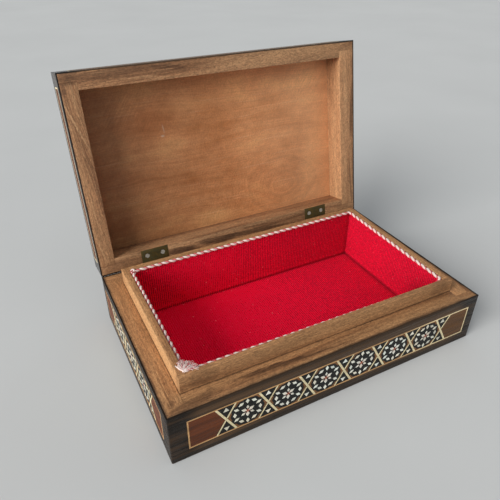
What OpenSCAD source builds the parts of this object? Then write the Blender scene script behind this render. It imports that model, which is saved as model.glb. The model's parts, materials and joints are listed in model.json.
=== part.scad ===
// Inlaid wooden box with a hinged lid, a raised inner lip and a fabric lining.
// Origin: middle of the underside of the base. +X right, +Y to the back, +Z up.
// The lid is drawn standing open at lid_angle.

/* [Box] */
// Outside width, left to right
box_w = 250; // [235:1:300]
// Outside depth, front to back
box_d = 155; // [150:1:190]
// Height of the base up to its mating face, without the lip
base_h = 42; // [40:0.5:50]
// Height of the lid
lid_h = 25; // [24:0.5:32]
// Angle that the open lid stands at
lid_angle = 101; // [90:0.5:110]
// Space between the closed lid and the base
lid_gap = 0.3; // [0.3:0.05:0.8]

/* [Boards] */
// Ledge outside the lip at the front
ledge_front = 14.3; // [14:0.1:16]
// Ledge outside the lip at the back
ledge_back = 14.1; // [13.8:0.1:16]
// Ledge outside the lip at the left
ledge_left = 13.8; // [13.5:0.1:16]
// Ledge outside the lip at the right
ledge_right = 15.8; // [14.5:0.1:18]
// Width of the lid's front and left rails
rail_w = 13; // [11:0.1:13]
// Width of the lid's back rail, which takes the hinges
rail_back = 12.6; // [12:0.1:13]
// Width of the lid's right rail
rail_right = 15; // [12:0.1:15]
// Thickness of the bottom board
bottom_t = 6; // [4:0.5:8]
// Thickness of the lid's top board, without its veneer
lid_top_t = 4; // [3:0.5:5]
// Lap of the front and back boards over the ends of the side boards
lap = 6.5; // [5:0.5:9]

/* [Lip] */
// Height of the lip above the ledge at its front left corner
lip_front_left = 13; // [8:0.5:14]
// Height of the lip above the ledge at its front right corner
lip_front_right = 10.5; // [8:0.5:14]
// Height of the lip above the ledge along the back
lip_back = 12.3; // [8:0.1:14]
// Thickness of the side and back lip boards
lip_t = 5.2; // [4:0.1:6]
// Thickness of the front lip board
lip_front_t = 4; // [3:0.1:6]

/* [Lining] */
// Thickness of the floor lining
floor_lining_t = 2; // [1:0.1:3]
// Thickness of the wall linings
wall_lining_t = 1.2; // [0.6:0.1:2]
// Diameter of the twisted trimming cord
cord_d = 2.6; // [1.5:0.1:3]

/* [Veneer and inlay] */
// Thickness of the outer veneers
veneer_t = 1; // [0.8:0.1:1.5]
// Thickness of the inlaid pieces, which lie flush with the veneer
inlay_t = 0.5; // [0.3:0.05:0.6]
// Height of the base's inlay band over its frame strings
band_h = 25.6; // [22:0.1:27]
// Width of the frame strings
string_w = 1; // [0.8:0.1:2]
// Width of the thicker string of each cross
cross_thick = 1.5; // [1:0.1:2]
// Width of the thinner string of each cross
cross_thin = 1; // [0.6:0.1:1.5]
// Distance from cross to cross
cell_pitch = 29.8; // [28:0.1:31]
// Slope of the cross strings
cross_slope = 60.5; // [58:0.5:63]
// Side of the small pearl lozenges
lozenge = 2.45; // [2:0.05:2.6]
// Side of the three smaller pieces of each star
star_piece = 1.8; // [1.4:0.05:2.1]
// Side of the pearl triangles between the crosses' arms
mark_side = 3.9; // [3:0.1:4.2]
// Dark margin between a band's end and the corner of the box
band_margin = 10; // [8:0.5:12]
// Shift of the front band to the right of the middle
front_shift = 1.8; // [-2:0.1:2]
// Shift of the left band towards the back
left_shift = 3; // [-3:0.1:3]

/* [Hinges] */
// Length of each hinge
hinge_len = 23; // [18:0.5:30]
// Distance of each hinge's middle from the middle of the box
hinge_x = 79; // [60:1:90]
// Distance of the pin's axis behind the back face; below nought it lies inside
pin_out = -0.1; // [-0.1:0.1:1]
// Radius of the hinge pins
pin_r = 0.9; // [0.7:0.05:1]
// Radius of the knuckles
knuckle_r = 2; // [1.8:0.05:2.2]
// Thickness of the hinge leaves
leaf_t = 0.9; // [0.7:0.05:1.1]
// Distance from the pin's axis to the far edge of a leaf
leaf_reach = 12.6; // [11:0.1:13]

/* [Hidden] */

$fn = 48;
cut = 1;
walnut = "#8a6642";
dark_walnut = "#3a2a20";
mahogany = "#6e3420";
boxwood = "#dcc48a";
pearl = "#e6e8e2";
ebony = "#16120f";
crimson = "#b00c22";
brass = "#8d7440";
steel = "#a9a9a4";

// Outer faces of the solid wood, inside the veneers
wood_x = box_w / 2 - veneer_t;
wood_y = box_d / 2 - veneer_t;
// Outer faces of the lip
lip_left = -box_w / 2 + ledge_left;
lip_right = box_w / 2 - ledge_right;
lip_front = -box_d / 2 + ledge_front;
lip_rear = box_d / 2 - ledge_back;
// Inner faces of the lip
well_left = lip_left + lip_t;
well_right = lip_right - lip_t;
well_front = lip_front + lip_front_t;
well_rear = lip_rear - lip_t;
lap_y = wood_y - lap;
// Cord
cord_r = cord_d / 2;
cord_drop = 0.6;
cord_turn_r = cord_r + 0.2;
cord_off = cord_turn_r + 0.02;
end_tuft_r = 2.2;
// Lid, closed
lid_z = base_h + lid_gap;
lid_top_z = lid_z + lid_h;
rail_h = lid_h - lid_top_t - veneer_t;
rail_left_in = -box_w / 2 + rail_w;
rail_right_in = box_w / 2 - rail_right;
rail_front_in = -box_d / 2 + rail_w;
rail_rear_in = box_d / 2 - rail_back;
// Hinge
axis_y = box_d / 2 + pin_out;
axis_z = base_h + lid_gap / 2;
run_clear = 0.05;
fit_clear = 0.03;
knuckle_clear = 0.25;
knuckle_gap = 0.15;
screw_r = 0.9;
screw_head_r = 1.8;
screw_head_h = 0.8;
screw_len = 8;
screw_in = [6.4, 7.6];
screw_side = 6.6;
// Bands
front_len = box_w - 2 * band_margin;
side_len = box_d - 2 * band_margin;
front_cells = 6;
side_cells = 3;
band_z = base_h / 2;
ring_r = 9.1;
star_r = 2.9;
star_piece_r = 3.5;
mark_off = 8.6;
lid_band_h = 13;
lid_band_z = lid_z + (lid_h - veneer_t) / 2;
top_rosette = 1.9;
rosette_ring_r = 24;

// ---- Helpers ----

// Puts a flat drawing on an upright face: 0 front, 90 right, 180 back, -90 left
module on_side(turn, reach) {
    rotate([0, 0, turn])
        translate([0, -reach, 0])
            rotate([90, 0, 0])
                children();
}

// Swings what is drawn on the closed lid to where the open lid stands
module swung() {
    translate([0, axis_y, axis_z])
        rotate([-lid_angle, 0, 0])
            translate([0, -axis_y, -axis_z])
                children();
}

module block(low, high) {
    translate(low)
        cube(high - low);
}

module sheet_2d(length, height) {
    translate([-length / 2, -height / 2])
        square([length, height]);
}

function lip_top(x) = base_h + lip_front_left
    + (lip_front_right - lip_front_left) * (x - lip_left) / (lip_right - lip_left);

// ---- Base ----

// A front or back board: full width, with a rabbet at each end for the side boards
module cross_board(side, inner) {
    linear_extrude(base_h)
        polygon([
            [-wood_x, side * wood_y], [wood_x, side * wood_y], [wood_x, side * lap_y],
            [lip_right, side * lap_y], [lip_right, inner], [lip_left, inner],
            [lip_left, side * lap_y], [-wood_x, side * lap_y]
        ]);
}

module base_front_board() {
    color(walnut)
        cross_board(-1, lip_front);
}

module base_back_board() {
    color(walnut)
        difference() {
            cross_board(1, lip_rear);
            for (x = [-hinge_x, hinge_x])
                translate([x, 0, 0])
                    base_mortise();
        }
}

module base_left_board() {
    color(walnut)
        block([-wood_x, -lap_y, 0], [lip_left, lap_y, base_h]);
}

module base_right_board() {
    color(walnut)
        block([lip_right, -lap_y, 0], [wood_x, lap_y, base_h]);
}

module bottom_board() {
    color(walnut)
        block([lip_left, lip_front, 0], [lip_right, lip_rear, bottom_t]);
}

module lip_front_board() {
    color(walnut)
        translate([0, lip_front + lip_front_t, 0])
            rotate([90, 0, 0])
                linear_extrude(lip_front_t)
                    polygon([
                        [lip_left, bottom_t], [lip_right, bottom_t],
                        [lip_right, lip_top(lip_right)], [lip_left, lip_top(lip_left)]
                    ]);
}

// A side lip board, sloping from the front board's height to the back board's
module lip_side(x, front_top) {
    translate([x, 0, 0])
        rotate([90, 0, 90])
            linear_extrude(lip_t)
                polygon([
                    [well_front, bottom_t], [lip_rear, bottom_t],
                    [lip_rear, base_h + lip_back], [well_front, front_top]
                ]);
}

module lip_left_board() {
    color(walnut)
        lip_side(lip_left, lip_top(lip_left));
}

module lip_right_board() {
    color(walnut)
        lip_side(well_right, lip_top(lip_right));
}

module lip_back_board() {
    color(walnut)
        block([well_left, well_rear, bottom_t], [well_right, lip_rear, base_h + lip_back]);
}

// ---- Lining ----

module floor_lining() {
    color(crimson)
        block([well_left, well_front, bottom_t], [well_right, well_rear, bottom_t + floor_lining_t]);
}

// Height of a wall lining's top edge where the lip's top is at lip_z, just under the cord
function lining_top(lip_z) = lip_z - cord_drop - cord_r - 0.1;

lining_foot = bottom_t + floor_lining_t;
left_front_top = lining_top(lip_top(lip_left));
right_front_top = lining_top(lip_top(lip_right));
back_top = lining_top(base_h + lip_back);

module front_lining() {
    color(crimson)
        translate([0, well_front + wall_lining_t, 0])
            rotate([90, 0, 0])
                linear_extrude(wall_lining_t)
                    polygon([
                        [well_left, lining_foot], [well_right, lining_foot],
                        [well_right, right_front_top], [well_left, left_front_top]
                    ]);
}

module back_lining() {
    color(crimson)
        block([well_left, well_rear - wall_lining_t, lining_foot], [well_right, well_rear, back_top]);
}

module side_lining(x, front_top) {
    near = well_front + wall_lining_t;
    far = well_rear - wall_lining_t;
    color(crimson)
        translate([x, 0, 0])
            rotate([90, 0, 90])
                linear_extrude(wall_lining_t)
                    polygon([[near, lining_foot], [far, lining_foot], [far, back_top], [near, front_top]]);
}

module left_lining() {
    side_lining(well_left, left_front_top);
}

module right_lining() {
    side_lining(well_right - wall_lining_t, right_front_top);
}

cord_route = [
    [well_left + cord_off, well_front + cord_off, lip_top(lip_left) - cord_drop],
    [well_right - cord_off, well_front + cord_off, lip_top(lip_right) - cord_drop],
    [well_right - cord_off, well_rear - cord_off, base_h + lip_back - cord_drop],
    [well_left + cord_off, well_rear - cord_off, base_h + lip_back - cord_drop]
];

module cord_run(from, to) {
    way = to - from;
    flat = norm([way[0], way[1]]);
    translate(from)
        rotate([0, atan2(flat, way[2]), atan2(way[1], way[0])])
            cylinder(h = norm(way), r = cord_r);
}

// The cord runs round the top of the lining, and its frayed ends meet at the front left corner
module lining_cord() {
    color("#e8b8b4")
        union() {
            for (i = [0:3]) {
                cord_run(cord_route[i], cord_route[(i + 1) % 4]);
                translate(cord_route[i])
                    sphere(cord_turn_r);
            }
            translate(cord_route[0] + [end_tuft_r, end_tuft_r, 0])
                sphere(end_tuft_r);
        }
}

// ---- Veneers and inlay of the base ----

module veneer(length, height, middle_z, window, shift) {
    difference() {
        translate([0, middle_z])
            linear_extrude(veneer_t)
                sheet_2d(length, height);
        translate([shift, window[2], -cut])
            linear_extrude(veneer_t + 2 * cut)
                sheet_2d(window[0], window[1]);
    }
}

module base_veneer(turn, reach, length, window_len, shift) {
    color(dark_walnut)
        on_side(turn, reach)
            veneer(length, base_h, base_h / 2, [window_len, band_h, band_z], shift);
}

module base_front_veneer() {
    base_veneer(0, wood_y, box_w, front_len, front_shift);
}

module base_back_veneer() {
    difference() {
        base_veneer(180, wood_y, box_w, front_len, 0);
        for (x = [-hinge_x, hinge_x])
            translate([x, 0, 0])
                base_mortise();
    }
}

module base_left_veneer() {
    base_veneer(-90, wood_x, 2 * wood_y, side_len, -left_shift);
}

module base_right_veneer() {
    base_veneer(90, wood_x, 2 * wood_y, side_len, 0);
}

// The drawings below lie flat, with the middle of the band at the origin

inner_h = band_h - 2 * string_w;

function cross_x(cells, i) = (i - cells / 2) * cell_pitch;

module frame_2d(length, height, width) {
    difference() {
        sheet_2d(length, height);
        sheet_2d(length - 2 * width, height - 2 * width);
    }
}

// One slanting string, cut off level with the inside of the frame
module slant_2d(width, slope, height) {
    run = height / tan(slope) / 2;
    half = width / sin(slope) / 2;
    polygon([
        [-run - half, -height / 2], [-run + half, -height / 2],
        [run + half, height / 2], [run - half, height / 2]
    ]);
}

module cross_2d(height) {
    slant_2d(cross_thin, cross_slope, height);
    mirror([1, 0])
        slant_2d(cross_thick, cross_slope, height);
}

module band_strings_2d(length, cells) {
    frame_2d(length, band_h, string_w);
    for (i = [0:cells])
        translate([cross_x(cells, i), 0])
            cross_2d(inner_h);
}

// The wood at one end of a band, pointed towards the first cross
module end_panel_2d(length, cells) {
    run = inner_h / tan(cross_slope) / 2;
    gap = cross_thick / sin(cross_slope) / 2;
    near = -length / 2 + string_w;
    far = cross_x(cells, 0) - gap;
    polygon([
        [near, -inner_h / 2], [far - run, -inner_h / 2], [far, 0],
        [far - run, inner_h / 2], [near, inner_h / 2]
    ]);
}

module band_panels_2d(length, cells) {
    end_panel_2d(length, cells);
    mirror([1, 0])
        end_panel_2d(length, cells);
}

module lozenge_2d(side) {
    tall = side * sqrt(3) / 2;
    polygon([[0, tall], [side / 2, 0], [0, -tall], [-side / 2, 0]]);
}

module mark_2d() {
    rise = mark_side * sqrt(3) / 2;
    polygon([[-mark_side / 2, -rise / 3], [mark_side / 2, -rise / 3], [0, rise * 2 / 3]]);
}

// Three larger and three smaller lozenges round the middle, and a ring of twelve
module star_cell_2d(grow) {
    for (k = [0:2])
        rotate(120 * k) {
            translate([0, star_r * grow])
                lozenge_2d(lozenge * grow);
            rotate(60)
                translate([0, star_piece_r * grow])
                    lozenge_2d(star_piece * grow);
        }
    for (k = [0:5])
        rotate(60 * k) {
            translate([0, ring_r * grow])
                lozenge_2d(lozenge * grow);
            translate([ring_r * grow, 0])
                lozenge_2d(lozenge * grow);
        }
}

module band_pearl_2d(cells) {
    for (i = [0:cells])
        translate([cross_x(cells, i), 0]) {
            translate([0, mark_off])
                mark_2d();
            rotate(180)
                translate([0, mark_off])
                    mark_2d();
        }
    for (i = [0:cells - 1])
        translate([cross_x(cells, i + 0.5), 0])
            star_cell_2d(1);
}

module laid(depth, thick) {
    translate([0, 0, depth])
        linear_extrude(thick)
            children();
}

ground_t = veneer_t - inlay_t;

module on_band(turn, reach, shift) {
    on_side(turn, reach)
        translate([shift, band_z, 0])
            children();
}

module band_ground(turn, reach, length, shift) {
    color(ebony)
        on_band(turn, reach, shift)
            laid(0, ground_t)
                sheet_2d(length, band_h);
}

module band_strings(turn, reach, length, cells, shift) {
    color(boxwood)
        on_band(turn, reach, shift)
            laid(ground_t, inlay_t)
                band_strings_2d(length, cells);
}

module band_panels(turn, reach, length, cells, shift) {
    color(mahogany)
        on_band(turn, reach, shift)
            laid(ground_t, inlay_t)
                band_panels_2d(length, cells);
}

module band_pearl(turn, reach, cells, shift) {
    color(pearl)
        on_band(turn, reach, shift)
            laid(ground_t, inlay_t)
                band_pearl_2d(cells);
}

module front_band_ground() {
    band_ground(0, wood_y, front_len, front_shift);
}

module front_band_strings() {
    band_strings(0, wood_y, front_len, front_cells, front_shift);
}

module front_band_panels() {
    band_panels(0, wood_y, front_len, front_cells, front_shift);
}

module front_band_pearl() {
    band_pearl(0, wood_y, front_cells, front_shift);
}

module back_band_ground() {
    band_ground(180, wood_y, front_len, 0);
}

module back_band_strings() {
    band_strings(180, wood_y, front_len, front_cells, 0);
}

module back_band_panels() {
    band_panels(180, wood_y, front_len, front_cells, 0);
}

module back_band_pearl() {
    band_pearl(180, wood_y, front_cells, 0);
}

module left_band_ground() {
    band_ground(-90, wood_x, side_len, -left_shift);
}

module left_band_strings() {
    band_strings(-90, wood_x, side_len, side_cells, -left_shift);
}

module left_band_panels() {
    band_panels(-90, wood_x, side_len, side_cells, -left_shift);
}

module left_band_pearl() {
    band_pearl(-90, wood_x, side_cells, -left_shift);
}

module right_band_ground() {
    band_ground(90, wood_x, side_len, 0);
}

module right_band_strings() {
    band_strings(90, wood_x, side_len, side_cells, 0);
}

module right_band_panels() {
    band_panels(90, wood_x, side_len, side_cells, 0);
}

module right_band_pearl() {
    band_pearl(90, wood_x, side_cells, 0);
}

// ---- Hinges, drawn closed ----

knuckle_len = hinge_len / 3;

// Room in the base's back edge for a leaf and the knuckles, and holes for its two screws
module base_mortise() {
    half = hinge_len / 2 + fit_clear;
    block([-half, axis_y - leaf_reach - fit_clear, base_h - leaf_t], [half, axis_y, base_h + cut]);
    translate([-half, axis_y, axis_z])
        rotate([0, 90, 0])
            cylinder(h = 2 * half, r = knuckle_r + knuckle_clear);
    for (s = [-1, 1])
        translate([s * screw_side, axis_y - screw_in[0], base_h - leaf_t - screw_len])
            cylinder(h = screw_len + cut, r = screw_r + fit_clear);
}

// The same room in the lid's back edge
module lid_mortise() {
    half = hinge_len / 2 + fit_clear;
    block([-half, axis_y - leaf_reach - fit_clear, lid_z - cut], [half, axis_y, lid_z + leaf_t]);
    translate([-half, axis_y, axis_z])
        rotate([0, 90, 0])
            cylinder(h = 2 * half, r = knuckle_r + knuckle_clear);
    for (s = [-1, 1])
        translate([s * screw_side, axis_y - screw_in[1], lid_z - cut])
            cylinder(h = leaf_t + screw_len + cut, r = screw_r + fit_clear);
}

// One knuckle with the tab that joins it to its leaf
module knuckle(start, length, low) {
    translate([start, axis_y, axis_z])
        rotate([0, 90, 0])
            cylinder(h = length, r = knuckle_r);
    block([start, axis_y - knuckle_r - knuckle_gap - cut, low], [start + length, axis_y, low + leaf_t]);
}

module leaf_plate(low) {
    block([-hinge_len / 2, axis_y - leaf_reach, low],
        [hinge_len / 2, axis_y - knuckle_r - knuckle_gap, low + leaf_t]);
}

module pin_bore(radius) {
    translate([-hinge_len, axis_y, axis_z])
        rotate([0, 90, 0])
            cylinder(h = 2 * hinge_len, r = radius);
}

// A countersunk hole: wide is the head's radius at the face
module countersink(inset, face, into) {
    translate([0, axis_y - inset, face])
        mirror([0, 0, into])
            for (s = [-1, 1])
                translate([s * screw_side, 0, 0]) {
                    cylinder(h = screw_head_h, r1 = screw_head_r + fit_clear, r2 = screw_r + fit_clear);
                    cylinder(h = leaf_t + cut, r = screw_r + fit_clear);
                }
}

module base_leaf(x) {
    low = base_h - leaf_t;
    color(brass)
        translate([x, 0, 0])
            difference() {
                union() {
                    leaf_plate(low);
                    knuckle(-hinge_len / 2, knuckle_len - knuckle_gap, low);
                    knuckle(hinge_len / 2 - knuckle_len + knuckle_gap, knuckle_len - knuckle_gap, low);
                }
                pin_bore(pin_r);
                countersink(screw_in[0], base_h, 1);
            }
}

module lid_leaf(x) {
    color(brass)
        swung()
            translate([x, 0, 0])
                difference() {
                    union() {
                        leaf_plate(lid_z);
                        knuckle(-knuckle_len / 2 + knuckle_gap, knuckle_len - 2 * knuckle_gap, lid_z);
                    }
                    pin_bore(pin_r + run_clear);
                    countersink(screw_in[1], lid_z, 0);
                }
}

module hinge_pin(x) {
    color(steel)
        translate([x - hinge_len / 2, axis_y, axis_z])
            rotate([0, 90, 0])
                cylinder(h = hinge_len, r = pin_r);
}

// A countersunk wood screw with a straight slot, its head up at the origin
module screw() {
    difference() {
        union() {
            translate([0, 0, -screw_head_h])
                cylinder(h = screw_head_h, r1 = screw_r, r2 = screw_head_r);
            translate([0, 0, -leaf_t - screw_len + cut])
                cylinder(h = leaf_t + screw_len - screw_head_h - cut, r = screw_r);
        }
        block([-screw_head_r - cut, -0.25, -0.35], [screw_head_r + cut, 0.25, cut]);
    }
}

module left_hinge_base_leaf() {
    base_leaf(-hinge_x);
}

module left_hinge_lid_leaf() {
    lid_leaf(-hinge_x);
}

module left_hinge_pin() {
    hinge_pin(-hinge_x);
}

module right_hinge_base_leaf() {
    base_leaf(hinge_x);
}

module right_hinge_lid_leaf() {
    lid_leaf(hinge_x);
}

module right_hinge_pin() {
    hinge_pin(hinge_x);
}

module base_hinge_screws() {
    color(steel)
        for (x = [-hinge_x, hinge_x], s = [-1, 1])
            translate([x + s * screw_side, axis_y - screw_in[0], base_h])
                rotate([0, 0, 30 * s])
                    screw();
}

module lid_hinge_screws() {
    color(steel)
        swung()
            for (x = [-hinge_x, hinge_x], s = [-1, 1])
                translate([x + s * screw_side, axis_y - screw_in[1], lid_z])
                    rotate([180, 0, 50 * s])
                        screw();
}

// ---- Lid, drawn closed ----

module cross_rail(side, inner) {
    translate([0, 0, lid_z])
        linear_extrude(rail_h)
            polygon([
                [-wood_x, side * wood_y], [wood_x, side * wood_y], [wood_x, side * lap_y],
                [rail_right_in, side * lap_y], [rail_right_in, inner], [rail_left_in, inner],
                [rail_left_in, side * lap_y], [-wood_x, side * lap_y]
            ]);
}

module lid_front_rail() {
    color(walnut)
        swung()
            cross_rail(-1, rail_front_in);
}

module lid_back_rail() {
    color(walnut)
        swung()
            difference() {
                cross_rail(1, rail_rear_in);
                for (x = [-hinge_x, hinge_x])
                    translate([x, 0, 0])
                        lid_mortise();
            }
}

module lid_left_rail() {
    color(walnut)
        swung()
            block([-wood_x, -lap_y, lid_z], [rail_left_in, lap_y, lid_z + rail_h]);
}

module lid_right_rail() {
    color(walnut)
        swung()
            block([rail_right_in, -lap_y, lid_z], [wood_x, lap_y, lid_z + rail_h]);
}

module lid_top_board() {
    color("#9a5a34")
        swung()
            block([-wood_x, -wood_y, lid_z + rail_h], [wood_x, wood_y, lid_z + rail_h + lid_top_t]);
}

module lid_veneer(turn, reach, length, window_len) {
    on_side(turn, reach)
        veneer(length, lid_h - veneer_t, lid_band_z, [window_len, lid_band_h, lid_band_z], 0);
}

module lid_front_veneer() {
    color(dark_walnut)
        swung()
            lid_veneer(0, wood_y, box_w, front_len);
}

module lid_back_veneer() {
    color(dark_walnut)
        swung()
            difference() {
                lid_veneer(180, wood_y, box_w, front_len);
                for (x = [-hinge_x, hinge_x])
                    translate([x, 0, 0])
                        lid_mortise();
            }
}

module lid_left_veneer() {
    color(dark_walnut)
        swung()
            lid_veneer(-90, wood_x, 2 * wood_y, side_len);
}

module lid_right_veneer() {
    color(dark_walnut)
        swung()
            lid_veneer(90, wood_x, 2 * wood_y, side_len);
}

// Draws on one edge of the lid, with the middle of its band at the origin
module lid_edge(turn, reach) {
    on_side(turn, reach)
        translate([0, lid_band_z, 0])
            children();
}

module lid_side_strings() {
    color(boxwood)
        swung() {
            for (turn = [0, 180])
                lid_edge(turn, wood_y)
                    laid(0, veneer_t)
                        frame_2d(front_len, lid_band_h, string_w);
            for (turn = [-90, 90])
                lid_edge(turn, wood_x)
                    laid(0, veneer_t)
                        frame_2d(side_len, lid_band_h, string_w);
        }
}

module lid_side_panels() {
    inside = 2 * string_w;
    color(mahogany)
        swung() {
            for (turn = [0, 180])
                lid_edge(turn, wood_y)
                    laid(0, veneer_t)
                        sheet_2d(front_len - inside, lid_band_h - inside);
            for (turn = [-90, 90])
                lid_edge(turn, wood_x)
                    laid(0, veneer_t)
                        sheet_2d(side_len - inside, lid_band_h - inside);
        }
}

// ---- Top of the lid, drawn flat and seen from above ----

top_band_y = side_len / 2 - band_h / 2;
top_band_x = front_len / 2 - band_h / 2;
field_h = side_len - 2 * band_h;
field_w = front_len - 2 * band_h;
field_cells = 2;

module on_top() {
    swung()
        translate([0, 0, lid_top_z - veneer_t])
            children();
}

// A long band along the front and the back edge, and a short one at each side of the field
module long_bands() {
    for (turn = [0, 180])
        rotate(turn)
            translate([0, -top_band_y])
                children();
}

module short_bands() {
    for (turn = [90, -90])
        rotate(turn)
            translate([0, -top_band_x])
                children();
}

module lid_top_veneer() {
    color(dark_walnut)
        on_top()
            laid(0, veneer_t)
                difference() {
                    sheet_2d(box_w, box_d);
                    sheet_2d(front_len, side_len);
                }
}

module lid_top_ground() {
    color(ebony)
        on_top()
            laid(0, ground_t)
                sheet_2d(front_len, side_len);
}

module lid_top_strings() {
    color(boxwood)
        on_top()
            laid(ground_t, inlay_t) {
                long_bands()
                    band_strings_2d(front_len, front_cells);
                short_bands()
                    intersection() {
                        band_strings_2d(field_h + 2 * string_w, field_cells);
                        sheet_2d(field_h, band_h);
                    }
                rosette_ring_2d();
            }
}

module rosette_ring_2d() {
    difference() {
        circle(r = rosette_ring_r);
        circle(r = rosette_ring_r - string_w);
    }
}

// The field round the rosette, and the bands' end panels
module lid_top_panel() {
    color(mahogany)
        on_top()
            laid(ground_t, inlay_t) {
                difference() {
                    sheet_2d(field_w, field_h);
                    circle(r = rosette_ring_r);
                }
                long_bands()
                    band_panels_2d(front_len, front_cells);
                short_bands()
                    intersection() {
                        band_panels_2d(field_h + 2 * string_w, field_cells);
                        sheet_2d(field_h, band_h);
                    }
            }
}

module lid_top_pearl() {
    color(pearl)
        on_top()
            laid(ground_t, inlay_t) {
                long_bands()
                    band_pearl_2d(front_cells);
                short_bands()
                    band_pearl_2d(field_cells);
                star_cell_2d(top_rosette);
            }
}

base_front_board();
base_back_board();
base_left_board();
base_right_board();
bottom_board();
lip_front_board();
lip_back_board();
lip_left_board();
lip_right_board();
floor_lining();
front_lining();
back_lining();
left_lining();
right_lining();
lining_cord();
base_front_veneer();
base_back_veneer();
base_left_veneer();
base_right_veneer();
front_band_ground();
front_band_strings();
front_band_panels();
front_band_pearl();
back_band_ground();
back_band_strings();
back_band_panels();
back_band_pearl();
left_band_ground();
left_band_strings();
left_band_panels();
left_band_pearl();
right_band_ground();
right_band_strings();
right_band_panels();
right_band_pearl();
left_hinge_base_leaf();
left_hinge_lid_leaf();
left_hinge_pin();
right_hinge_base_leaf();
right_hinge_lid_leaf();
right_hinge_pin();
base_hinge_screws();
lid_hinge_screws();
lid_front_rail();
lid_back_rail();
lid_left_rail();
lid_right_rail();
lid_top_board();
lid_front_veneer();
lid_back_veneer();
lid_left_veneer();
lid_right_veneer();
lid_top_veneer();
lid_side_strings();
lid_side_panels();
lid_top_ground();
lid_top_strings();
lid_top_panel();
lid_top_pearl();
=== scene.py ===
import json
import math
import random

import bmesh
import bpy
from mathutils import Matrix, Vector


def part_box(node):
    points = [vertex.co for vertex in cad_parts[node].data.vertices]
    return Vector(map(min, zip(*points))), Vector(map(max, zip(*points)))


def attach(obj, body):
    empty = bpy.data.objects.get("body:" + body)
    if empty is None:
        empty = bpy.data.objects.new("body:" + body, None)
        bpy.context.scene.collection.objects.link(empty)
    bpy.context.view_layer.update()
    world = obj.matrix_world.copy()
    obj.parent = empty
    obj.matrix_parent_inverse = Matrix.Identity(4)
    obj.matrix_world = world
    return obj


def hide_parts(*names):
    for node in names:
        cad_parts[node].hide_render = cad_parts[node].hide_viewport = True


bl_info = {
    "name": "Inlaid Wooden Box",
    "version": (1, 0, 0),
    "blender": (4, 5, 0),
    "location": "View3D > Sidebar > Inlaid Box",
    "description": "Wood, inlay, lining, cord and hinges of an inlaid box, built round its fixed frame",
    "category": "Object",
}

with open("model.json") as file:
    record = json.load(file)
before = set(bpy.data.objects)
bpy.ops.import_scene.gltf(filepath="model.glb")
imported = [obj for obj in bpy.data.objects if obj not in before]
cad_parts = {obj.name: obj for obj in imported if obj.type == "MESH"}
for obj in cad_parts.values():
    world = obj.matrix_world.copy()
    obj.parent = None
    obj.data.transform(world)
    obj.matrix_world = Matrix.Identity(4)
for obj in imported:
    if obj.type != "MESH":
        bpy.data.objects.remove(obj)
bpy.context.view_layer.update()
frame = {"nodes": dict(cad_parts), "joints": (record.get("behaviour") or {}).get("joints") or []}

# ---- Where things are, from the frame ----

MM = 0.001
# Points that lie nearer to each other than this are one
WELD = 0.01 * MM
HINGE = frame["joints"][0]
AXIS = Vector(HINGE["pos_m"])
OPEN_ANGLE = math.radians(HINGE["range_deg"][1])
# Takes a point on the closed lid to where it is on the open one
SWING = Matrix.Translation(AXIS) @ Matrix.Rotation(-OPEN_ANGLE, 4, "X") @ Matrix.Translation(-AXIS)
STILL = Matrix.Identity(4)

BOARD_LOW, BOARD_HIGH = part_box("base_front_board")
BASE_H = BOARD_HIGH.z
WOOD_X = BOARD_HIGH.x
WOOD_Y = -BOARD_LOW.y
VENEER_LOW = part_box("base_front_veneer")[0]
VENEER_T = BOARD_LOW.y - VENEER_LOW.y
BOX_X = -VENEER_LOW.x
BOX_Y = -VENEER_LOW.y
FLOOR_LOW, FLOOR_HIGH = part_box("floor_lining")
LIP_LOW = Vector((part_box("lip_left_board")[0].x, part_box("lip_front_board")[0].y, 0.0)) / MM
LIP_HIGH = Vector((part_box("lip_right_board")[1].x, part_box("lip_back_board")[1].y, 0.0)) / MM
LIP_MID = (LIP_LOW + LIP_HIGH) / 2
LIP_HALF = (LIP_HIGH - LIP_LOW) / 2
BAND_LOW, BAND_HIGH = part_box("front_band_ground")
LEFT_BAND_LOW, LEFT_BAND_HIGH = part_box("left_band_ground")
BAND_Z = (BAND_LOW.z + BAND_HIGH.z) / 2
BAND_H = BAND_HIGH.z - BAND_LOW.z
FRONT_LEN = BAND_HIGH.x - BAND_LOW.x
SIDE_LEN = LEFT_BAND_HIGH.y - LEFT_BAND_LOW.y
FRONT_SHIFT = (BAND_LOW.x + BAND_HIGH.x) / 2
LEFT_SHIFT = -(LEFT_BAND_LOW.y + LEFT_BAND_HIGH.y) / 2


def closed_box(node):
    """Lowest and highest corner of a lid node with the lid shut."""
    back = SWING.inverted()
    points = [back @ v.co for v in frame["nodes"][node].data.vertices]
    low = Vector([min(p[i] for p in points) for i in range(3)])
    high = Vector([max(p[i] for p in points) for i in range(3)])
    return low, high


LID_LOW_Z = closed_box("lid_front_rail")[0].z
LID_TOP_Z = closed_box("lid_top_veneer")[1].z
EDGE_LOW, EDGE_HIGH = closed_box("lid_side_strings")
EDGE_Z = (EDGE_LOW.z + EDGE_HIGH.z) / 2
EDGE_BAND_H = EDGE_HIGH.z - EDGE_LOW.z


# ---- Settings a user may change ----

def linear(level):
    """A display level from 0 to 255 as linear light."""
    share = level / 255
    return share / 12.92 if share <= 0.04045 else ((share + 0.055) / 1.055) ** 2.4


def length(name, description, default):
    return bpy.props.FloatProperty(
        name=name, description=description, default=default, min=0.0,
        unit="LENGTH", subtype="DISTANCE", precision=5)


def number(name, description, default):
    return bpy.props.FloatProperty(name=name, description=description, default=default)


def angle(name, description, degrees):
    return bpy.props.FloatProperty(
        name=name, description=description, default=math.radians(degrees), subtype="ANGLE")


def colour(name, description, *levels):
    return bpy.props.FloatVectorProperty(
        name=name, description=description, default=[linear(v) for v in levels],
        min=0.0, max=1.0, size=3, subtype="COLOR")


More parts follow.
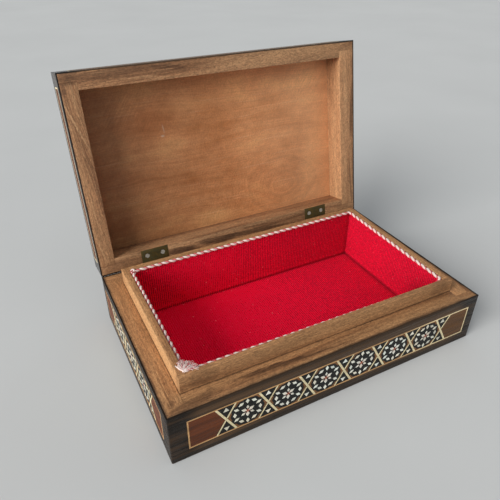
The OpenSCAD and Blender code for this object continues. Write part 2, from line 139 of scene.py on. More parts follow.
class InlaidBoxSizes(bpy.types.PropertyGroup):
    """Sizes of the box's finish"""
    board_round: length("Board rounding", "Rounding of the bare boards' edges", 0.0003)
    corner_round: length("Corner rounding", "Rounding of the veneered corners", 0.0008)
    string_w: length("String width", "Width of the strings that frame a band", 0.001)
    thick_cross: length("Thick slanting string", "Width of the thicker string of each cross", 0.0015)
    thin_cross: length("Thin slanting string", "Width of the thinner string of each cross", 0.001)
    cell_pitch: length("Cell pitch", "Distance from one cross to the next", 0.0298)
    cross_slope: angle("Cross slope", "Slope of the slanting strings", 60.5)
    lozenge: length("Lozenge side", "Side of the pearl lozenges", 0.0027)
    ring_r: length("Ring radius", "Radius of the ring of twelve lozenges", 0.0091)
    star_r: length("Star radius", "Radius of the middles of the three larger star pieces", 0.0029)
    star_large: length("Large star piece", "Side of the three larger star pieces", 0.0029)
    star_piece: length("Small star piece", "Side of the three smaller star pieces", 0.0021)
    star_piece_r: length("Small star radius", "Radius of the middles of the smaller star pieces", 0.0035)
    mark_side: length("Mark side", "Side of the pearl triangles in the crosses", 0.0041)
    mark_off: length("Mark offset", "Height of a pearl triangle above the middle of its cross", 0.0086)
    medallion_r: length("Medallion radius", "Radius of the black medallion of each cell", 0.0119)
    rosette_r: length("Rosette ring", "Radius of the round string about the lid's rosette", 0.024)
    rosette_growth: number("Rosette growth", "Size of the lid's rosette against that of a band's star", 1.9)
    rib_pitch: length("Rib pitch", "Distance between the ribs of the lining cloth", 0.0017)
    rib_height: length("Rib height", "Height of the cloth's ribs", 0.00028)
    cloth_t: length("Cloth thickness", "Thickness of the lining cloth", 0.0011)
    cord_r: length("Cord radius", "Radius of the twisted cord", 0.0013)
    cord_lead: length("Cord lead", "Length of one turn of the cord's plies", 0.006)
    white_ply_r: length("White ply radius", "Radius of the white ply", 0.00092)
    red_ply_r: length("Red ply radius", "Radius of the red ply", 0.00038)


class InlaidBoxColours(bpy.types.PropertyGroup):
    """Colours of the box's finish"""
    wood_light: colour("Light wood", "Pale streaks of the bare wood", 194, 150, 106)
    wood_mid: colour("Bare wood", "Bare wood between its streaks", 164, 118, 80)
    wood_dark: colour("Dark wood", "Dark streaks of the bare wood", 84, 57, 38)
    stain: colour("Stain", "Stain on the outer edges and the dark veneer", 38, 28, 19)
    stain_worn: colour("Worn stain", "Where the stain has rubbed thin", 96, 70, 46)
    panel_light: colour("Panel light", "Pale figure of the lid's panel", 208, 156, 102)
    panel_mid: colour("Panel", "Lid's panel", 184, 127, 82)
    panel_dark: colour("Panel dark", "Dark figure of the lid's panel", 154, 96, 52)
    mahogany: colour("End panels", "Reddish wood at the ends of a band", 100, 50, 22)
    brown_panel: colour("Brown end panels", "Browner wood of the right end panels", 100, 70, 38)
    filler: colour("Fillers", "Brown wood in the corners of the cells", 126, 84, 46)
    core: colour("Star cores", "Reddish wood in the middle of each star", 156, 74, 46)
    frame_string: colour("Frame strings", "Tan strings that frame a band", 206, 160, 108)
    ebony: colour("Black ground", "Black ground of the inlay", 18, 17, 15)
    string: colour("Strings", "Pale strings of the crosses", 238, 222, 178)
    pearl: colour("Pearl", "Mother of pearl", 242, 241, 224)
    pearl_rose: colour("Rose pearl", "Rosy pearl of the stars", 240, 204, 184)
    cloth: colour("Lining", "Ribbed cloth of the lining", 246, 0, 52)
    cord_white: colour("White ply", "White ply of the cord", 248, 226, 218)
    cord_red: colour("Red ply", "Red ply of the cord", 212, 84, 90)
    brass: colour("Hinges", "Tarnished brass of the hinges", 104, 88, 48)
    steel: colour("Screws", "Grey steel of the screws", 214, 210, 198)
    floor: colour("Floor", "Floor of the stage", 208, 209, 208)


def sizes():
    return bpy.context.scene.inlaid_box_sizes


def colours():
    return bpy.context.scene.inlaid_box_colours


# ---- Node trees ----

class Value:
    """A node's output, on which sums add Math nodes."""

    def __init__(self, graph, socket):
        self.graph = graph
        self.socket = socket

    def sum_of(self, operation, first, second):
        return self.graph.node("ShaderNodeMath", {"operation": operation}, {0: first, 1: second})

    def __add__(self, other):
        return self.sum_of("ADD", self, other)

    def __sub__(self, other):
        return self.sum_of("SUBTRACT", self, other)

    def __rsub__(self, other):
        return self.sum_of("SUBTRACT", other, self)

    def __mul__(self, other):
        return self.sum_of("MULTIPLY", self, other)

    def __truediv__(self, other):
        return self.sum_of("DIVIDE", self, other)

    __radd__ = __add__


class Graph:
    """A node tree, and the one way in which its nodes are added."""

    def __init__(self, tree):
        self.tree = tree

    def node(self, kind, settings=None, values=None, output=0):
        """Adds a node: its settings first, then the values or links of its sockets."""
        made = self.tree.nodes.new(kind)
        for name, setting in (settings or {}).items():
            if name == "stops":
                self.set_stops(made.color_ramp, setting)
            else:
                setattr(made, name, setting)
        for name, value in (values or {}).items():
            if isinstance(value, Value):
                self.tree.links.new(value.socket, made.inputs[name])
            else:
                made.inputs[name].default_value = value
        return Value(self, made.outputs[output]) if len(made.outputs) else made

    def set_stops(self, ramp, stops):
        while len(ramp.elements) < len(stops):
            ramp.elements.new(1.0)
        for element, (place, shade) in zip(ramp.elements, stops):
            element.position = place
            element.color = (*shade, 1.0)

    def vector(self, operation, first, second):
        return self.node("ShaderNodeVectorMath", {"operation": operation}, {0: first, 1: second})

    def size(self, vector):
        return self.node("ShaderNodeVectorMath", {"operation": "LENGTH"}, {0: vector}, "Value")

    def apart(self, vector):
        split = self.node("ShaderNodeSeparateXYZ", None, {0: vector}).socket.node
        return [Value(self, split.outputs[i]) for i in range(3)]

    def together(self, x=0.0, y=0.0, z=0.0):
        return self.node("ShaderNodeCombineXYZ", None, {0: x, 1: y, 2: z})

    def maths(self, operation, *values):
        return self.node("ShaderNodeMath", {"operation": operation}, dict(enumerate(values)))

    def ramp(self, value, low, high, start=0.0, end=1.0):
        """Rises smoothly from start to end as value goes from low to high."""
        return self.node(
            "ShaderNodeMapRange", {"interpolation_type": "SMOOTHSTEP"},
            {"Value": value, "From Min": low, "From Max": high, "To Min": start, "To Max": end})


class Finish(Graph):
    """A material's node tree. Its patterns read places in millimetres."""

    def __init__(self, name):
        self.material = bpy.data.materials.new(name)
        self.material.use_nodes = True
        super().__init__(self.material.node_tree)
        self.tree.nodes.clear()

    def attribute(self, name, output="Vector"):
        return self.node("ShaderNodeAttribute", {"attribute_name": name}, None, output)

    def noise(self, vector, scale, detail=2.0, roughness=0.5, twist=0.0):
        return self.node(
            "ShaderNodeTexNoise", None,
            {"Vector": self.vector("MULTIPLY", vector, scale), "Scale": 1.0, "Detail": detail,
             "Roughness": roughness, "Distortion": twist}, "Fac")

    def grit(self, vector, scale, detail=2.0, roughness=0.5):
        """Noise stretched to run from nought to one."""
        return self.ramp(self.noise(vector, scale, detail, roughness), 0.34, 0.66)

    def shades(self, value, *stops):
        return self.node("ShaderNodeValToRGB", {"stops": stops}, {"Fac": value}, "Color")

    def mix(self, first, second, share, way="MIX"):
        return self.node(
            "ShaderNodeMix", {"data_type": "RGBA", "blend_type": way, "clamp_factor": True},
            {0: share, 6: as_shade(first), 7: as_shade(second)}, 2)

    def lit(self, shade, amount):
        """Multiplies a colour's brightness by amount."""
        return self.mix(shade, self.node("ShaderNodeCombineColor", None, {0: amount, 1: amount, 2: amount}),
                        1.0, "MULTIPLY")

    def patch(self, vector, middle, half, turn=0.0, edge=0.35):
        """One inside an ellipse and nought outside it, with a soft edge."""
        moved = self.node(
            "ShaderNodeMapping", {"vector_type": "TEXTURE"},
            {"Vector": vector, "Location": middle, "Rotation": (0.0, 0.0, math.radians(turn)), "Scale": half})
        return self.ramp(self.size(moved), 1.0 + edge, 1.0 - edge)

    def bump(self, height, depth):
        """A normal from a height that runs from 0 to 1 and stands for depth metres."""
        return self.node("ShaderNodeBump", None, {"Height": height, "Strength": 1.0, "Distance": depth})

    def surface(self, **values):
        """Ends the tree. Names are the shader's sockets, with _ for a space."""
        named = {name.replace("_", " "): as_shade(value) for name, value in values.items()}
        shader = self.node("ShaderNodeBsdfPrincipled", None, named)
        self.node("ShaderNodeOutputMaterial", None, {"Surface": shader})
        return self.material


def as_shade(value):
    """A colour of three numbers with its fourth, and anything else as it is."""
    if isinstance(value, Value) or not hasattr(value, "__len__") or len(value) != 3:
        return value
    return (*value, 1.0)


# ---- Materials ----

# Height of the seam between base and lid, in millimetres as every place in a material is
SEAM = round(BASE_H / MM, 3)
# Streaks and knots of the bare wood, and a painted highlight on the left lip's outer face: middle, half
# sizes, turn, and how dark, or below nought how pale
BASE_SPOTS = [
    ((-50.0, -69.6, SEAM), (27.0, 1.8, 6.0), -3.0, 1.0),
    ((-14.0, -72.4, SEAM), (24.0, 0.9, 6.0), -2.0, 0.8),
    ((-106.0, -72.6, SEAM), (16.0, 3.4, 6.0), 6.0, 0.7),
    ((-119.0, -68.0, SEAM), (3.0, 2.6, 6.0), 0.0, 0.45),
    ((-120.5, -50.0, SEAM), (2.0, 26.0, 9.0), -6.0, -0.5),
    ((-116.5, 30.0, SEAM), (1.2, 30.0, 9.0), -5.0, -0.45),
    ((40.0, -76.0, SEAM), (60.0, 1.4, 6.0), 1.0, 0.6),
    ((-95.0, -62.0, 48.0), (9.0, 3.0, 8.0), 0.0, 0.4),
    ((98.0, -62.0, 48.0), (9.0, 3.0, 8.0), 0.0, 0.4),
    ((52.0, -70.0, SEAM), (56.0, 3.6, 3.0), 0.0, -0.45),
    # Painted highlight: the left lip's outer face made paler where the light falls on it
    ((-111.2, 0.0, 49.0), (0.8, 64.0, 9.0), 0.0, -1.0),
    ((-62.0, -63.6, 48.0), (58.0, 1.6, 7.0), 0.0, 0.3),
]
LID_SPOTS = [
    ((x, y, SEAM), (half_x, half_y, 9.0), turn, strength) for x, y, half_x, half_y, turn, strength in (
        (-44.0, -73.2, 13.0, 1.7, 7.0, 0.85), (-85.0, -74.0, 38.0, 3.0, -2.0, 0.6),
        (-118.0, -73.0, 6.0, 5.0, 0.0, 0.6), (-60.0, -67.4, 24.0, 0.7, 4.0, -0.6),
        (54.0, -70.0, 66.0, 8.0, 0.0, -0.85), (-22.0, 71.6, 18.0, 3.2, 4.0, 1.0),
        (-56.0, 73.0, 14.0, 3.4, 4.0, 1.0), (16.0, 72.6, 32.0, 2.4, 3.0, 0.9),
        (-6.0, 66.6, 70.0, 0.9, -1.0, -0.6), (-112.0, 72.0, 14.0, 5.0, 0.0, 0.3),
        (-121.6, -64.6, 1.6, 1.8, 0.0, 0.7), (-119.0, -41.0, 0.7, 20.0, -18.0, -1.0),
        (-121.4, 51.0, 0.6, 15.0, -11.0, -1.0), (122.2, -18.0, 1.5, 22.0, 2.0, 0.75),
        (120.5, 48.0, 1.0, 22.0, -4.0, 0.5), (115.0, 0.0, 2.5, 60.0, 0.0, -0.45),
    )
]


# Fixed shades in linear light, which tint, age or soil a finish, or paint light and shade on it
BASE_TINT, LID_TINT = (1.0, 0.97, 0.91), (1.0, 1.0, 1.04)
PANEL_SCRATCH, PANEL_DRIP = (0.72, 0.55, 0.36), (0.8, 0.72, 0.6)
PANEL_BOUNCE_GLOW, PANEL_RED_TINT = (0.70, 0.46, 0.27), (1.0, 0.84, 0.74)
PEARL_YELLOW, PEARL_CLEAR, PEARL_GREEN = (0.92, 0.74, 0.48), (0.92, 0.92, 0.82), (0.74, 0.9, 0.86)
PEARL_CREAM, PEARL_DULL = (0.84, 0.7, 0.44), (0.46, 0.38, 0.24)
PILE_GLINT, PILE_SHADE, PILE_SHEEN = (0.95, 0.1, 0.17), (0.26, 0.0, 0.01), (0.95, 0.04, 0.1)
LINT = (0.8, 0.42, 0.42)
TARNISH = (0.06, 0.052, 0.022)


def bare_wood(name, spots, tint, rim_width, rim_strength):
    """Planed wood without a finish: bands of sap and heart wood, fine streaks, pores and a stained rim."""
    c = colours()
    f = Finish(name)
    place = f.attribute("place")
    grain = f.attribute("grain")
    tone = f.attribute("tone", "Fac")
    along, across, through = f.apart(grain)
    wander = f.noise(grain, (0.012, 0.06, 0.06), 2.0)
    bow = along * along * 0.0002
    figure = f.together(along, across + bow + wander * 7.0, through + wander * 4.0)
    bands = f.grit(figure, (0.003, 0.12, 0.1), 2.0, 0.5)
    streaks = f.grit(figure, (0.03, 1.3, 1.1), 3.0, 0.65)
    lines = f.noise(figure, (0.004, 0.3, 0.25), 2.0, 0.5)
    speckle = f.grit(grain, (0.8, 1.6, 1.6), 3.0, 0.8)
    pores = f.ramp(f.noise(figure, (0.3, 2.6, 2.6), 2.0, 0.6), 0.56, 0.68)
    shade = f.mix(c.wood_mid, c.wood_light, bands * 0.5)
    shade = f.mix(shade, c.wood_dark, f.ramp(bands, 0.3, 0.0) * 0.35)
    shade = f.lit(shade, 0.82 + streaks * 0.36)
    sap = f.maths("ABSOLUTE", lines - 0.5)
    shade = f.mix(shade, c.wood_light, f.ramp(sap, 0.014, 0.003) * 0.6)
    ragged = f.grit(place, (0.05, 0.5, 0.5), 3.0, 0.6)
    moved = f.vector("ADD", place, f.together(0.0, (ragged - 0.5) * 1.6, 0.0))
    for middle, half, turn, strength in spots:
        spot = f.patch(moved, middle, half, turn) * abs(strength) * (0.6 + streaks * 0.4)
        shade = f.mix(shade, c.wood_dark if strength > 0 else c.wood_light, spot)
    mottle = f.grit(grain, (0.4, 0.85, 0.85), 3.0, 0.7)
    shade = f.lit(shade, 0.62 + speckle * 0.38 + mottle * 0.34)
    shade = f.mix(shade, c.wood_dark, pores * 0.5)
    shade = f.mix(shade, tint, 1.0, "MULTIPLY")
    x, y, z = f.apart(place)
    beside_x = f.maths("ABSOLUTE", x - LIP_MID.x) - LIP_HALF.x
    beside_y = f.maths("ABSOLUTE", y - LIP_MID.y) - LIP_HALF.y
    beside = f.maths("ABSOLUTE", f.maths("MAXIMUM", beside_x, beside_y)) + (mottle - 0.5) * 0.5
    above = f.maths("ABSOLUTE", z - BASE_H / MM)
    crevice = f.ramp(beside, 0.8, 0.2) * f.ramp(above, 0.8, 0.3)
    shade = f.mix(shade, c.stain, crevice * 0.5)
    rim_x = BOX_X / MM - f.maths("ABSOLUTE", x)
    rim_y = BOX_Y / MM - f.maths("ABSOLUTE", y)
    rim = f.maths("MINIMUM", rim_x, rim_y) + (f.grit(place, (0.08, 0.08, 0.08), 3.0, 0.6) - 0.5) * 0.9
    shade = f.mix(shade, c.stain, f.ramp(rim, rim_width, 0.2) * rim_strength)
    shade = f.lit(shade, 0.55 + tone * 0.9)
    relief = streaks * 0.4 + speckle * 0.4 - pores * 0.8
    return f.surface(Base_Color=shade, Roughness=0.55 + speckle * 0.2, Specular_IOR_Level=0.3,
                     Normal=f.bump(relief, 0.00012))


def panel_wood():
    """The lid's thin inner panel: reddish, with long streaks, a swirl, fleck and fine curl."""
    c = colours()
    f = Finish("panel_finish")
    place = f.attribute("place")
    x, y, z = f.apart(place)

    def spot(middle_x, middle_y, half_x, half_y, turn=0.0, edge=0.8):
        return f.patch(place, (middle_x, middle_y, 0.0), (half_x, half_y, 60.0), turn, edge)

    def stronger(first, second):
        return f.maths("MAXIMUM", first, second)

    from_swirl = f.vector("SUBTRACT", place, (58.0, 42.0, 0.0))
    swirl = spot(58.0, 42.0, 62.0, 44.0, 12.0, 0.9)
    wander = f.noise(place, (0.01, 0.022, 0.03), 2.0)
    rings = f.size(f.vector("MULTIPLY", from_swirl, (0.7, 1.0, 0.0))) + wander * 16.0
    turned = f.together(x * 0.03, rings, 0.0)
    straight = f.together(x * 0.012, y + wander * 18.0, 0.0)
    flow = f.node("ShaderNodeMix", {"data_type": "VECTOR"}, {0: swirl, 4: straight, 5: turned}, 1)
    bands = f.noise(flow, (0.5, 0.1, 1.0), 3.0, 0.6)
    streaks = f.grit(f.together(x, y + wander * 16.0, 0.0), (0.011, 0.8, 1.0), 3.0, 0.7)
    cloud = f.noise(place, (0.02, 0.028, 0.02), 3.0, 0.6)
    shade = f.shades(bands * 0.35 + cloud * 0.65,
                     (0.3, c.panel_dark), (0.52, c.panel_mid), (0.74, c.panel_light))
    mottle = f.grit(place, (0.16, 0.24, 0.2), 4.0, 0.7)
    shade = f.lit(shade, 0.93 + mottle * 0.14)
    arcs = f.grit(f.together(rings, 0.0, 0.0), (0.32, 1.0, 1.0), 3.0, 0.6)
    shade = f.lit(shade, 0.9 + streaks * 0.14 + (arcs - 0.5) * swirl * 0.5)
    for dark, strength in ((spot(35.0, 47.0, 16.0, 14.0), 0.4), (spot(-3.0, -58.0, 14.0, 5.0), 0.5),
                           (spot(60.0, -56.0, 8.0, 9.0), 0.5), (spot(-104.0, 44.0, 14.0, 20.0), 0.3)):
        shade = f.mix(shade, c.panel_dark, dark * strength)
    pale = stronger(spot(92.0, 18.0, 11.0, 34.0, 14.0) * 0.5, spot(-22.0, -42.0, 22.0, 5.0, -6.0) * 0.4)
    shade = f.mix(shade, c.panel_light, pale)
    curl = f.grit(f.together(x + y * 0.7, y * 0.25 - x * 0.1, 0.0), (0.55, 0.16, 1.0), 3.0, 0.7)
    curly = stronger(spot(-78.0, -42.0, 34.0, 28.0, 0.0, 0.6), spot(86.0, -48.0, 26.0, 18.0, 0.0, 0.6))
    shade = f.lit(shade, 1.0 + (curl - 0.5) * (0.05 + curly * 0.4))
    fleck_line = f.together(x + y * 0.3 + wander * 6.0, y, 0.0)
    flecks = f.ramp(f.noise(fleck_line, (0.6, 0.26, 1.0), 3.0, 0.65), 0.53, 0.62)
    flecked = spot(22.0, 42.0, 50.0, 22.0, 0.0, 0.7)
    shade = f.mix(shade, c.panel_dark, flecks * (0.12 + flecked * 0.7))
    scratch = f.ramp(f.noise(place, (0.016, 1.6, 1.0), 1.0), 0.68, 0.74)
    shade = f.mix(shade, PANEL_SCRATCH, scratch * 0.16)
    drip = stronger(spot(-50.0, -26.0, 1.0, 6.0, -8.0, 0.4) * 0.6, spot(-51.4, -20.4, 2.4, 1.5, 0.0, 0.4))
    shade = f.mix(shade, PANEL_DRIP, drip * 0.8)
    speckle = f.grit(place, (0.8, 0.8, 0.8), 3.0, 0.7)
    shade = f.lit(shade, 0.9 + speckle * 0.2)
    # Darker to the left and paler to the right: partly the panel's own paler wood at the right, partly
    # painted shadow of the left rail
    shade = f.lit(shade, f.ramp(x, -112.0, 100.0, 0.74, 1.66))
    # Painted glow of light thrown from the right rail onto the panel's right side
    shade = f.mix(shade, PANEL_BOUNCE_GLOW, f.ramp(x, 0.0, 110.0) * 0.34)
    reddish = stronger(spot(38.0, 46.0, 34.0, 24.0), spot(-66.0, -34.0, 26.0, 20.0))
    shade = f.mix(shade, PANEL_RED_TINT, reddish, "MULTIPLY")
    relief = streaks * 0.4 + flecks * 0.5 + speckle * 0.4 + drip * 1.5
    return f.surface(Base_Color=shade, Roughness=0.5 + speckle * 0.15, Specular_IOR_Level=0.35,
                     Normal=f.bump(relief, 0.0001))


def dark_veneer():
    """Stained veneer with a thin worn polish: brown-black, rubbed paler along the edges."""
    c = colours()
    f = Finish("dark_veneer_finish")
    place = f.attribute("place")
    grain = f.attribute("grain")
    wander = f.noise(grain, (0.015, 0.08, 0.08), 2.0)
    along, across, through = f.apart(grain)
    figure = f.together(along, across + wander * 8.0, through + wander * 8.0)
    bands = f.noise(figure, (0.006, 0.28, 0.28), 3.0, 0.6)
    streaks = f.grit(figure, (0.03, 1.3, 1.3), 3.0, 0.65)
    shade = f.mix(c.stain, c.stain_worn, f.ramp(bands, 0.42, 0.72) * 0.75)
    shade = f.lit(shade, 0.82 + streaks * 0.4)
    x, y, z = f.apart(place)
    ends = f.maths("ABSOLUTE", x)
    shade = f.mix(shade, c.stain_worn, f.ramp(z, 32.0, 35.5) * f.ramp(ends, 116.0, 106.0) * 0.45)
    top_edge = f.ramp(z, 38.6, 40.6) * f.ramp(z, BASE_H / MM + 0.2, BASE_H / MM + 0.1)
    shade = f.mix(shade, c.stain, top_edge * 0.75)
    shade = f.lit(shade, f.ramp(ends, 100.0, 115.0, 1.3, 0.58))
    worn = f.ramp(f.noise(place, (0.35, 0.35, 0.35), 3.0, 0.7), 0.62, 0.8)
    shade = f.mix(shade, c.stain_worn, worn * 0.5)
    pores = f.ramp(f.noise(figure, (0.25, 4.0, 4.0), 1.0), 0.6, 0.74)
    relief = streaks * 0.6 - pores * 0.7
    polish = f.ramp(z, SEAM, SEAM + 0.4, 0.0, 0.6)
    return f.surface(Base_Color=shade, Roughness=0.3 + streaks * 0.3, Normal=f.bump(relief, 0.00012),
                     Coat_Weight=polish, Coat_Roughness=0.25, Specular_IOR_Level=0.22)


def fine_wood(name, shade_from, contrast, polish, far_shade=None):
    """Small pieces of even wood with a fine streak along them. Towards +X it may turn to another shade."""
    f = Finish(name)
    place = f.attribute("place")
    grain = f.attribute("grain")
    tone = f.attribute("tone", "Fac")
    streaks = f.grit(grain, (0.06, 1.5, 1.5), 3.0, 0.65)
    bands = f.grit(grain, (0.015, 0.25, 0.25), 2.0)
    pores = f.ramp(f.noise(grain, (0.4, 3.0, 3.0), 2.0), 0.58, 0.7)
    shade = shade_from
    if far_shade is not None:
        shade = f.mix(shade, far_shade, f.ramp(f.apart(place)[0], 40.0, 95.0) * 0.8)
    shade = f.lit(shade, (1.0 - contrast) + streaks * contrast + bands * contrast)
    shade = f.lit(shade, 0.7 + tone * 0.6)
    shade = f.lit(shade, 1.0 - pores * 0.3)
    relief = streaks - pores
    return f.surface(Base_Color=shade, Roughness=0.42 + streaks * 0.2, Normal=f.bump(relief, 0.00006),
                     Coat_Weight=polish, Coat_Roughness=0.25, Specular_IOR_Level=0.25)


def pearl():
    """Mother of pearl in small pieces, each of its own tint, under old polish."""
    c = colours()
    f = Finish("pearl_finish")
    place = f.attribute("place")
    tone = f.attribute("tone", "Fac")
    rosy = f.attribute("rosy", "Fac")
    cloud = f.noise(place, (0.5, 0.5, 0.5), 3.0, 0.6, 0.8)
    tint = f.shades(f.noise(place, (0.035, 0.1, 0.1), 1.0),
                    (0.35, PEARL_YELLOW), (0.5, PEARL_CLEAR), (0.65, PEARL_GREEN))
    shade = f.mix(tint, c.pearl, 0.6)
    along = f.apart(place)[0]
    shade = f.mix(shade, PEARL_CREAM, f.ramp(along, -58.0, -84.0) * 0.4)
    shade = f.mix(shade, PEARL_DULL, f.ramp(along, 64.0, 84.0) * 0.4)
    shade = f.mix(shade, c.pearl_rose, rosy * 0.8)
    shade = f.lit(shade, 0.84 + tone * 0.3)
    shade = f.lit(shade, 0.86 + cloud * 0.28)
    return f.surface(Base_Color=shade, Roughness=0.22 + cloud * 0.2, Coat_Weight=0.5, Coat_Roughness=0.15,
                     Normal=f.bump(cloud, 0.00008))


def lining_cloth():
    """Ribbed crimson cloth with a short pile whose glints and shade are painted in specks, with painted light
    and shade on its ribs, in its corners and across the well.
    """
    c = colours()
    f = Finish("ribbed_cloth")
    weave = f.attribute("weave")
    place = f.attribute("place")
    pile = f.grit(weave, (1.1, 1.1, 1.1), 3.0, 0.8)
    specks = f.noise(weave, (1.6, 0.9, 1.6), 3.0, 0.7)
    cloud = f.noise(weave, (0.035, 0.05, 0.05), 3.0, 0.5)
    across = f.apart(weave)[0]
    rib = f.maths("SINE", across * (2 * math.pi * MM / sizes().rib_pitch))
    shade = f.lit(c.cloth, 0.58 + pile * 0.7 + cloud * 0.2)
    # Painted shade in the hollows between the ribs, and painted light on their crests
    shade = f.lit(shade, 0.98 + rib * 0.36)
    # Painted glints and painted shade in specks of the pile
    shade = f.mix(shade, PILE_GLINT, f.ramp(specks, 0.55, 0.68) * 0.5)
    shade = f.mix(shade, PILE_SHADE, f.ramp(specks, 0.45, 0.32) * 0.55)
    lint = f.ramp(f.noise(place, (0.55, 0.55, 0.55), 1.0), 0.76, 0.8)
    shade = f.mix(shade, LINT, lint * 0.5)
    x, y, z = f.apart(place)
    low = FLOOR_HIGH / MM
    beside_x = f.maths("MINIMUM", low.x - x, x - FLOOR_LOW.x / MM)
    beside_y = f.maths("MINIMUM", low.y - y, y - FLOOR_LOW.y / MM)
    # Painted shade in the corners where the floor's cloth meets the walls
    corner_shade = f.ramp(f.maths("MAXIMUM", f.maths("MINIMUM", beside_x, beside_y), z - low.z), 3.2, 1.0)
    shade = f.lit(shade, 1.0 - corner_shade * 0.35)
    # Painted light and shade across the well: lighter to the left, where the left wall's shadow falls, darker
    # to the right, which faces the light
    shade = f.lit(shade, f.ramp(x, -95.0, 98.0, 1.36, 0.84))
    # Painted light and shade on the walls: a little lighter at the foot of the well, darker higher up, and
    # darker still on the right wall, which faces the light
    shade = f.lit(shade, f.ramp(z, low.z + 1.0, low.z + 8.0, 1.06, 0.92) * f.ramp(x, 98.0, 101.0, 1.0, 0.82))
    # Painted shadow of the left lip on the upper walls towards the left
    shade = f.lit(shade, 1.0 - f.ramp(x, -50.0, -90.0) * f.ramp(z, low.z + 2.0, low.z + 6.0) * 0.2)
    # Painted shade on the front part of the right wall
    shade = f.lit(shade, 1.0 - f.patch(place, (104.0, -46.0, 14.0), (12.0, 16.0, 18.0), 0.0, 0.8) * 0.4)
    relief = pile * 0.6 + specks * 0.6
    return f.surface(Base_Color=shade, Roughness=0.9, Sheen_Weight=0.2, Sheen_Roughness=0.4,
                     Sheen_Tint=PILE_SHEEN, Specular_IOR_Level=0.15, Normal=f.bump(relief, 0.0005))


def cord_yarn(name, shade_from):
    """One ply of the twisted cord, with the twist of its own fibres."""
    f = Finish(name)
    place = f.attribute("place")
    fibres = f.noise(place, (3.5, 3.5, 3.5), 2.0, 0.7, 1.5)
    soiled = f.noise(place, (0.08, 0.08, 0.08), 2.0)
    shade = f.lit(shade_from, 0.76 + fibres * 0.3 + soiled * 0.16)
    # Painted shade on the cord's right run, which faces the light
    shade = f.lit(shade, f.ramp(f.apart(place)[0], 60.0, 98.0, 1.0, 0.84))
    return f.surface(Base_Color=shade, Roughness=0.7, Sheen_Weight=0.2, Normal=f.bump(fibres, 0.00025),
                     Specular_IOR_Level=0.25)


def hinge_brass():
    """Old brass, brown and green with tarnish, metallic only where the tarnish is thin."""
    c = colours()
    f = Finish("tarnished_brass")
    place = f.attribute("place")
    blotch = f.noise(place, (0.35, 0.35, 0.35), 4.0, 0.65)
    grime = f.noise(place, (1.6, 1.6, 1.6), 3.0, 0.7)
    shade = f.mix(c.brass, TARNISH, f.ramp(blotch, 0.36, 0.6) * 0.8)
    shade = f.lit(shade, 0.8 + grime * 0.6)
    clean = f.ramp(blotch, 0.7, 0.4, 0.2, 0.6)
    return f.surface(Base_Color=shade, Metallic=clean, Roughness=0.42 + grime * 0.3,
                     Normal=f.bump(grime, 0.0001))


def screw_steel():
    """Plated steel, dulled and lightly scratched."""
    c = colours()
    f = Finish("screw_steel")
    place = f.attribute("place")
    grime = f.noise(place, (1.2, 1.2, 1.2), 3.0, 0.7)
    shade = f.lit(c.steel, 0.6 + grime * 0.6)
    return f.surface(Base_Color=shade, Metallic=0.5, Roughness=0.34 + grime * 0.3,
                     Normal=f.bump(grime, 0.00005))


def floor_finish():
    """Pale, slightly uneven plaster."""
    f = Finish("pale_floor")
    place = f.node("ShaderNodeTexCoord", output="Object")
    cloud = f.noise(place, (4.0, 4.0, 4.0), 3.0, 0.55)
    return f.surface(Base_Color=f.lit(colours().floor, 0.94 + cloud * 0.12), Roughness=0.75,
                     Specular_IOR_Level=0.2)


FINISHES = {
    "base_wood": lambda: bare_wood("base_wood", BASE_SPOTS, BASE_TINT, 3.0, 0.9),
    "lid_wood": lambda: bare_wood("lid_wood", LID_SPOTS, LID_TINT, 1.5, 0.7),
    "panel_wood": panel_wood,
    "dark_veneer": dark_veneer,
    "mahogany": lambda: fine_wood("end_panel_wood", colours().mahogany, 0.45, 0.0, colours().brown_panel),
    "filler_wood": lambda: fine_wood("filler_wood", colours().filler, 0.3, 0.05),
    "core_wood": lambda: fine_wood("star_core_wood", colours().core, 0.2, 0.05),
    "frame_string": lambda: fine_wood(
        "frame_string_wood", colours().frame_string, 0.3, 0.05, colours().string),
    "black_wood": lambda: fine_wood("black_wood", colours().ebony, 0.3, 0.05),
    "boxwood": lambda: fine_wood("string_wood", colours().string, 0.16, 0.1),
    "pearl": pearl,
    "lining_cloth": lining_cloth,
    "cord_white": lambda: cord_yarn("cord_white", colours().cord_white),
    "cord_red": lambda: cord_yarn("cord_red", colours().cord_red),
    "hinge_brass": hinge_brass,
    "screw_steel": screw_steel,
}


MADE = {}


def finish(name):
    """The named material, made the first time that it is asked for."""
    if name not in MADE:
        MADE[name] = FINISHES[name]()
    return MADE[name]


# ---- Meshes ----

def new_object(name, mesh):
    made = bpy.data.objects.new(name, mesh)
    bpy.context.scene.collection.objects.link(made)
    return made


def set_numbers(mesh, name, kind, values):
    found = mesh.attributes.get(name) or mesh.attributes.new(name, kind, "POINT")
    found.data.foreach_set("vector" if kind == "FLOAT_VECTOR" else "value", values)


def mark(piece, lid=False, along="x", tone=None, seed=0):
    """Stores each point's place in the closed box and in the grain, both in millimetres, and its tone."""
    rng = random.Random(seed)
    offset = Vector([rng.uniform(-260, 260), rng.uniform(-400, 400), rng.uniform(-400, 400)])
    order = {"x": (0, 1, 2), "y": (1, 0, 2), "z": (2, 0, 1)}[along]
    back = SWING.inverted() if lid else STILL
    places, grains = [], []
    for vertex in piece.data.vertices:
        place = (back @ vertex.co) / MM
        places.extend(place)
        grains.extend(place[order[i]] + offset[i] for i in range(3))
    set_numbers(piece.data, "place", "FLOAT_VECTOR", places)
    set_numbers(piece.data, "grain", "FLOAT_VECTOR", grains)
    if tone is not None:
        set_numbers(piece.data, "tone", "FLOAT", [tone] * len(piece.data.vertices))
    return piece


